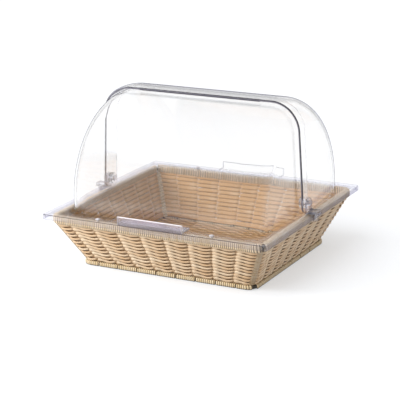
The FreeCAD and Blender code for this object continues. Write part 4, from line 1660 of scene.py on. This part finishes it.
@dataclass
class Studio:
    """Pale floor, soft light and the camera at the photograph's viewing angle."""

    focal_share: float = 1504.93 / 400
    azimuth: float = 28.31
    elevation: float = 16.56
    roll: float = -1.13
    across: float = -6.65
    up: float = 77.84
    distance: float = 2224.66
    sensor: float = 36.0
    floor_reach: float = 6000.0
    soft_colour: str = "FFFBF7"
    soft_strength: float = 0.80
    key_direction: tuple[float, float, float] = (-0.46, -0.54, 0.71)
    key_degrees: float = 60.0
    key_strength: float = 1.65
    side_place: tuple[float, float, float] = (-0.58, -0.55, 0.36)
    side_aim: tuple[float, float, float] = (0.0, 0.0, 0.05)
    side_size: float = 0.3
    side_power: float = 3.4

    def camera(self) -> None:
        """Makes the camera: it looks at a point beside the object's middle and is rolled a little."""
        a, e, r = (math.radians(v) for v in (self.azimuth, self.elevation, self.roll))
        back = np.array([math.sin(a) * math.cos(e), -math.cos(a) * math.cos(e), math.sin(e)])
        right = np.array([math.cos(a), math.sin(a), 0.0])
        up = np.cross(back, right)
        place = right * self.across + up * self.up + back * self.distance
        rolled_right = math.cos(r) * right + math.sin(r) * up
        rolled_up = -math.sin(r) * right + math.cos(r) * up
        data = bpy.data.cameras.new("camera")
        data.sensor_width = self.sensor
        data.lens = self.focal_share * self.sensor
        data.clip_start, data.clip_end = 0.05, 50.0
        camera = bpy.data.objects.new("camera", data)
        bpy.context.scene.collection.objects.link(camera)
        turn = Matrix([rolled_right.tolist(), rolled_up.tolist(), back.tolist()]).transposed().to_4x4()
        camera.matrix_world = Matrix.Translation(Vector(place.tolist()) * MM) @ turn
        bpy.context.scene.camera = camera

    def floor(self) -> None:
        """Makes the floor."""
        reach = self.floor_reach
        parts = MeshParts()
        parts.add_grid(np.array([[-X - Y, X - Y], [Y - X, X + Y]]) * reach)
        made = parts.build("floor", [MattFloor().build()])

    def world(self) -> None:
        """Makes the surroundings: plain white where seen, soft grey-white as light."""
        world = bpy.data.worlds.new("studio")
        bpy.context.scene.world = world
        world.use_nodes = True
        tree = world.node_tree
        tree.nodes.clear()
        soft = add_node(tree, "Background", {"Color": linear(self.soft_colour), "Strength": self.soft_strength})
        white = add_node(tree, "Background", {"Color": linear("FFFFFF"), "Strength": 1.0})
        mixed = add_node(tree, "MixShader", {0: seen(tree), 1: soft.outputs[0], 2: white.outputs[0]})
        add_node(tree, "OutputWorld", {"Surface": mixed.outputs[0]})

    def hang(self, data: bpy.types.Light, place: Vector, direction: Vector) -> None:
        """Hangs a lamp that clear and glossy pieces don't show.

        Args:
            data: The light.
            place: Where it hangs, in metres.
            direction: Where it shines.
        """
        lamp = bpy.data.objects.new(data.name, data)
        lamp.visible_glossy = lamp.visible_transmission = False
        bpy.context.scene.collection.objects.link(lamp)
        lamp.matrix_world = Matrix.Translation(place) @ direction.to_track_quat("-Z", "Y").to_matrix().to_4x4()

    def lamps(self) -> None:
        """Adds the key light, even over the whole floor, and a square soft lamp aimed at the object's middle."""
        key = bpy.data.lights.new("key_light", "SUN")
        key.energy = self.key_strength
        key.angle = math.radians(self.key_degrees)
        self.hang(key, Vector((0, 0, 0)), -Vector(self.key_direction))
        side = bpy.data.lights.new("side_light", "AREA")
        side.shape = "SQUARE"
        side.size = self.side_size
        side.energy = self.side_power
        self.hang(side, Vector(self.side_place), Vector(self.side_aim) - Vector(self.side_place))

    def build(self) -> None:
        """Sets up everything round the object."""
        self.camera()
        self.floor()
        self.world()
        self.lamps()
        bpy.context.scene.view_settings.view_transform = "Standard"


def build_basket() -> None:
    """Builds the woven and wound pieces and their steel hoops."""
    form = BasketForm()
    cane = CaneStrand().build()
    stakes = MeshParts()
    for side in Side:
        wall = WovenWall(form, side)
        wall.weave(cane)
        wall.stand_stakes(stakes)
    stakes.dress("upright_stakes", [cane], "base", "woven_strand", "basket_stakes")
    WovenFloor(form).build(cane)
    bands = Bands(form)
    bands.build_rim(WoundStrand().build())
    # The second foot strand is dark: painted shadow under the foot.
    bands.build_foot([WoundStrand("wound_foot_strand", "EAD8B8", "DEC89E", "75603F").build(),
                      WoundStrand("painted_shadow_foot_strand", "5E564F", "4E4740", "2B241E", 0.6).build()])
    bands.build_hoops(LacqueredWire().build())
    post = WoundStrand("wound_post_strand", "EAD8BA", "CFB48C", "5C4327").build()
    for sign_x in (-1, 1):
        for sign_y in (-1, 1):
            CornerPost(form, sign_x, sign_y).build(post)


def build_clear_pieces() -> None:
    """Builds the frame, the covers with their handles, the hinge hardware and the rivets."""
    look = {clear: clear.value.build() for clear in Clear}
    FrameMoulding().build([look[Clear.FLANGE], look[Clear.SKIRT], look[Clear.BEVEL], look[Clear.MOULDED_EDGE]])
    covers = Covers()
    covers.build(look[Clear.COVER], CutEdge().build(), look[Clear.MOULDED_EDGE])
    Handle("front_handle", 1, covers.front().radius).build(
        [look[Clear.SATIN], look[Clear.HANDLE_TOP], look[Clear.HANDLE_FOOT]])
    Handle("rear_handle", -1, covers.rear().radius).build(
        [look[Clear.THIN], look[Clear.HANDLE_OUTLINE], look[Clear.THIN]])
    # Dark finish: painted contact shadow on the brackets' seats, and the pins' dots.
    hinge_looks = [look[Clear.BRACKET], MouldedPlastic("painted_seat_shadow_and_pin_dot", "5E5B68").build()]
    for side in (-1, 1):
        hardware = HingeHardware(side)
        hardware.build_bracket(hinge_looks)
        hardware.build_pin(hinge_looks)
    Rivets().build(MouldedPlastic("pale_nylon", "C9C6CB").build())


def main() -> None:
    """Builds the object's pieces in order, then the studio round them."""
    logging.basicConfig(level=logging.INFO, format="%(name)s %(message)s")
    build_basket()
    build_clear_pieces()
    Studio().build()


if __name__ == "__main__":
    main()
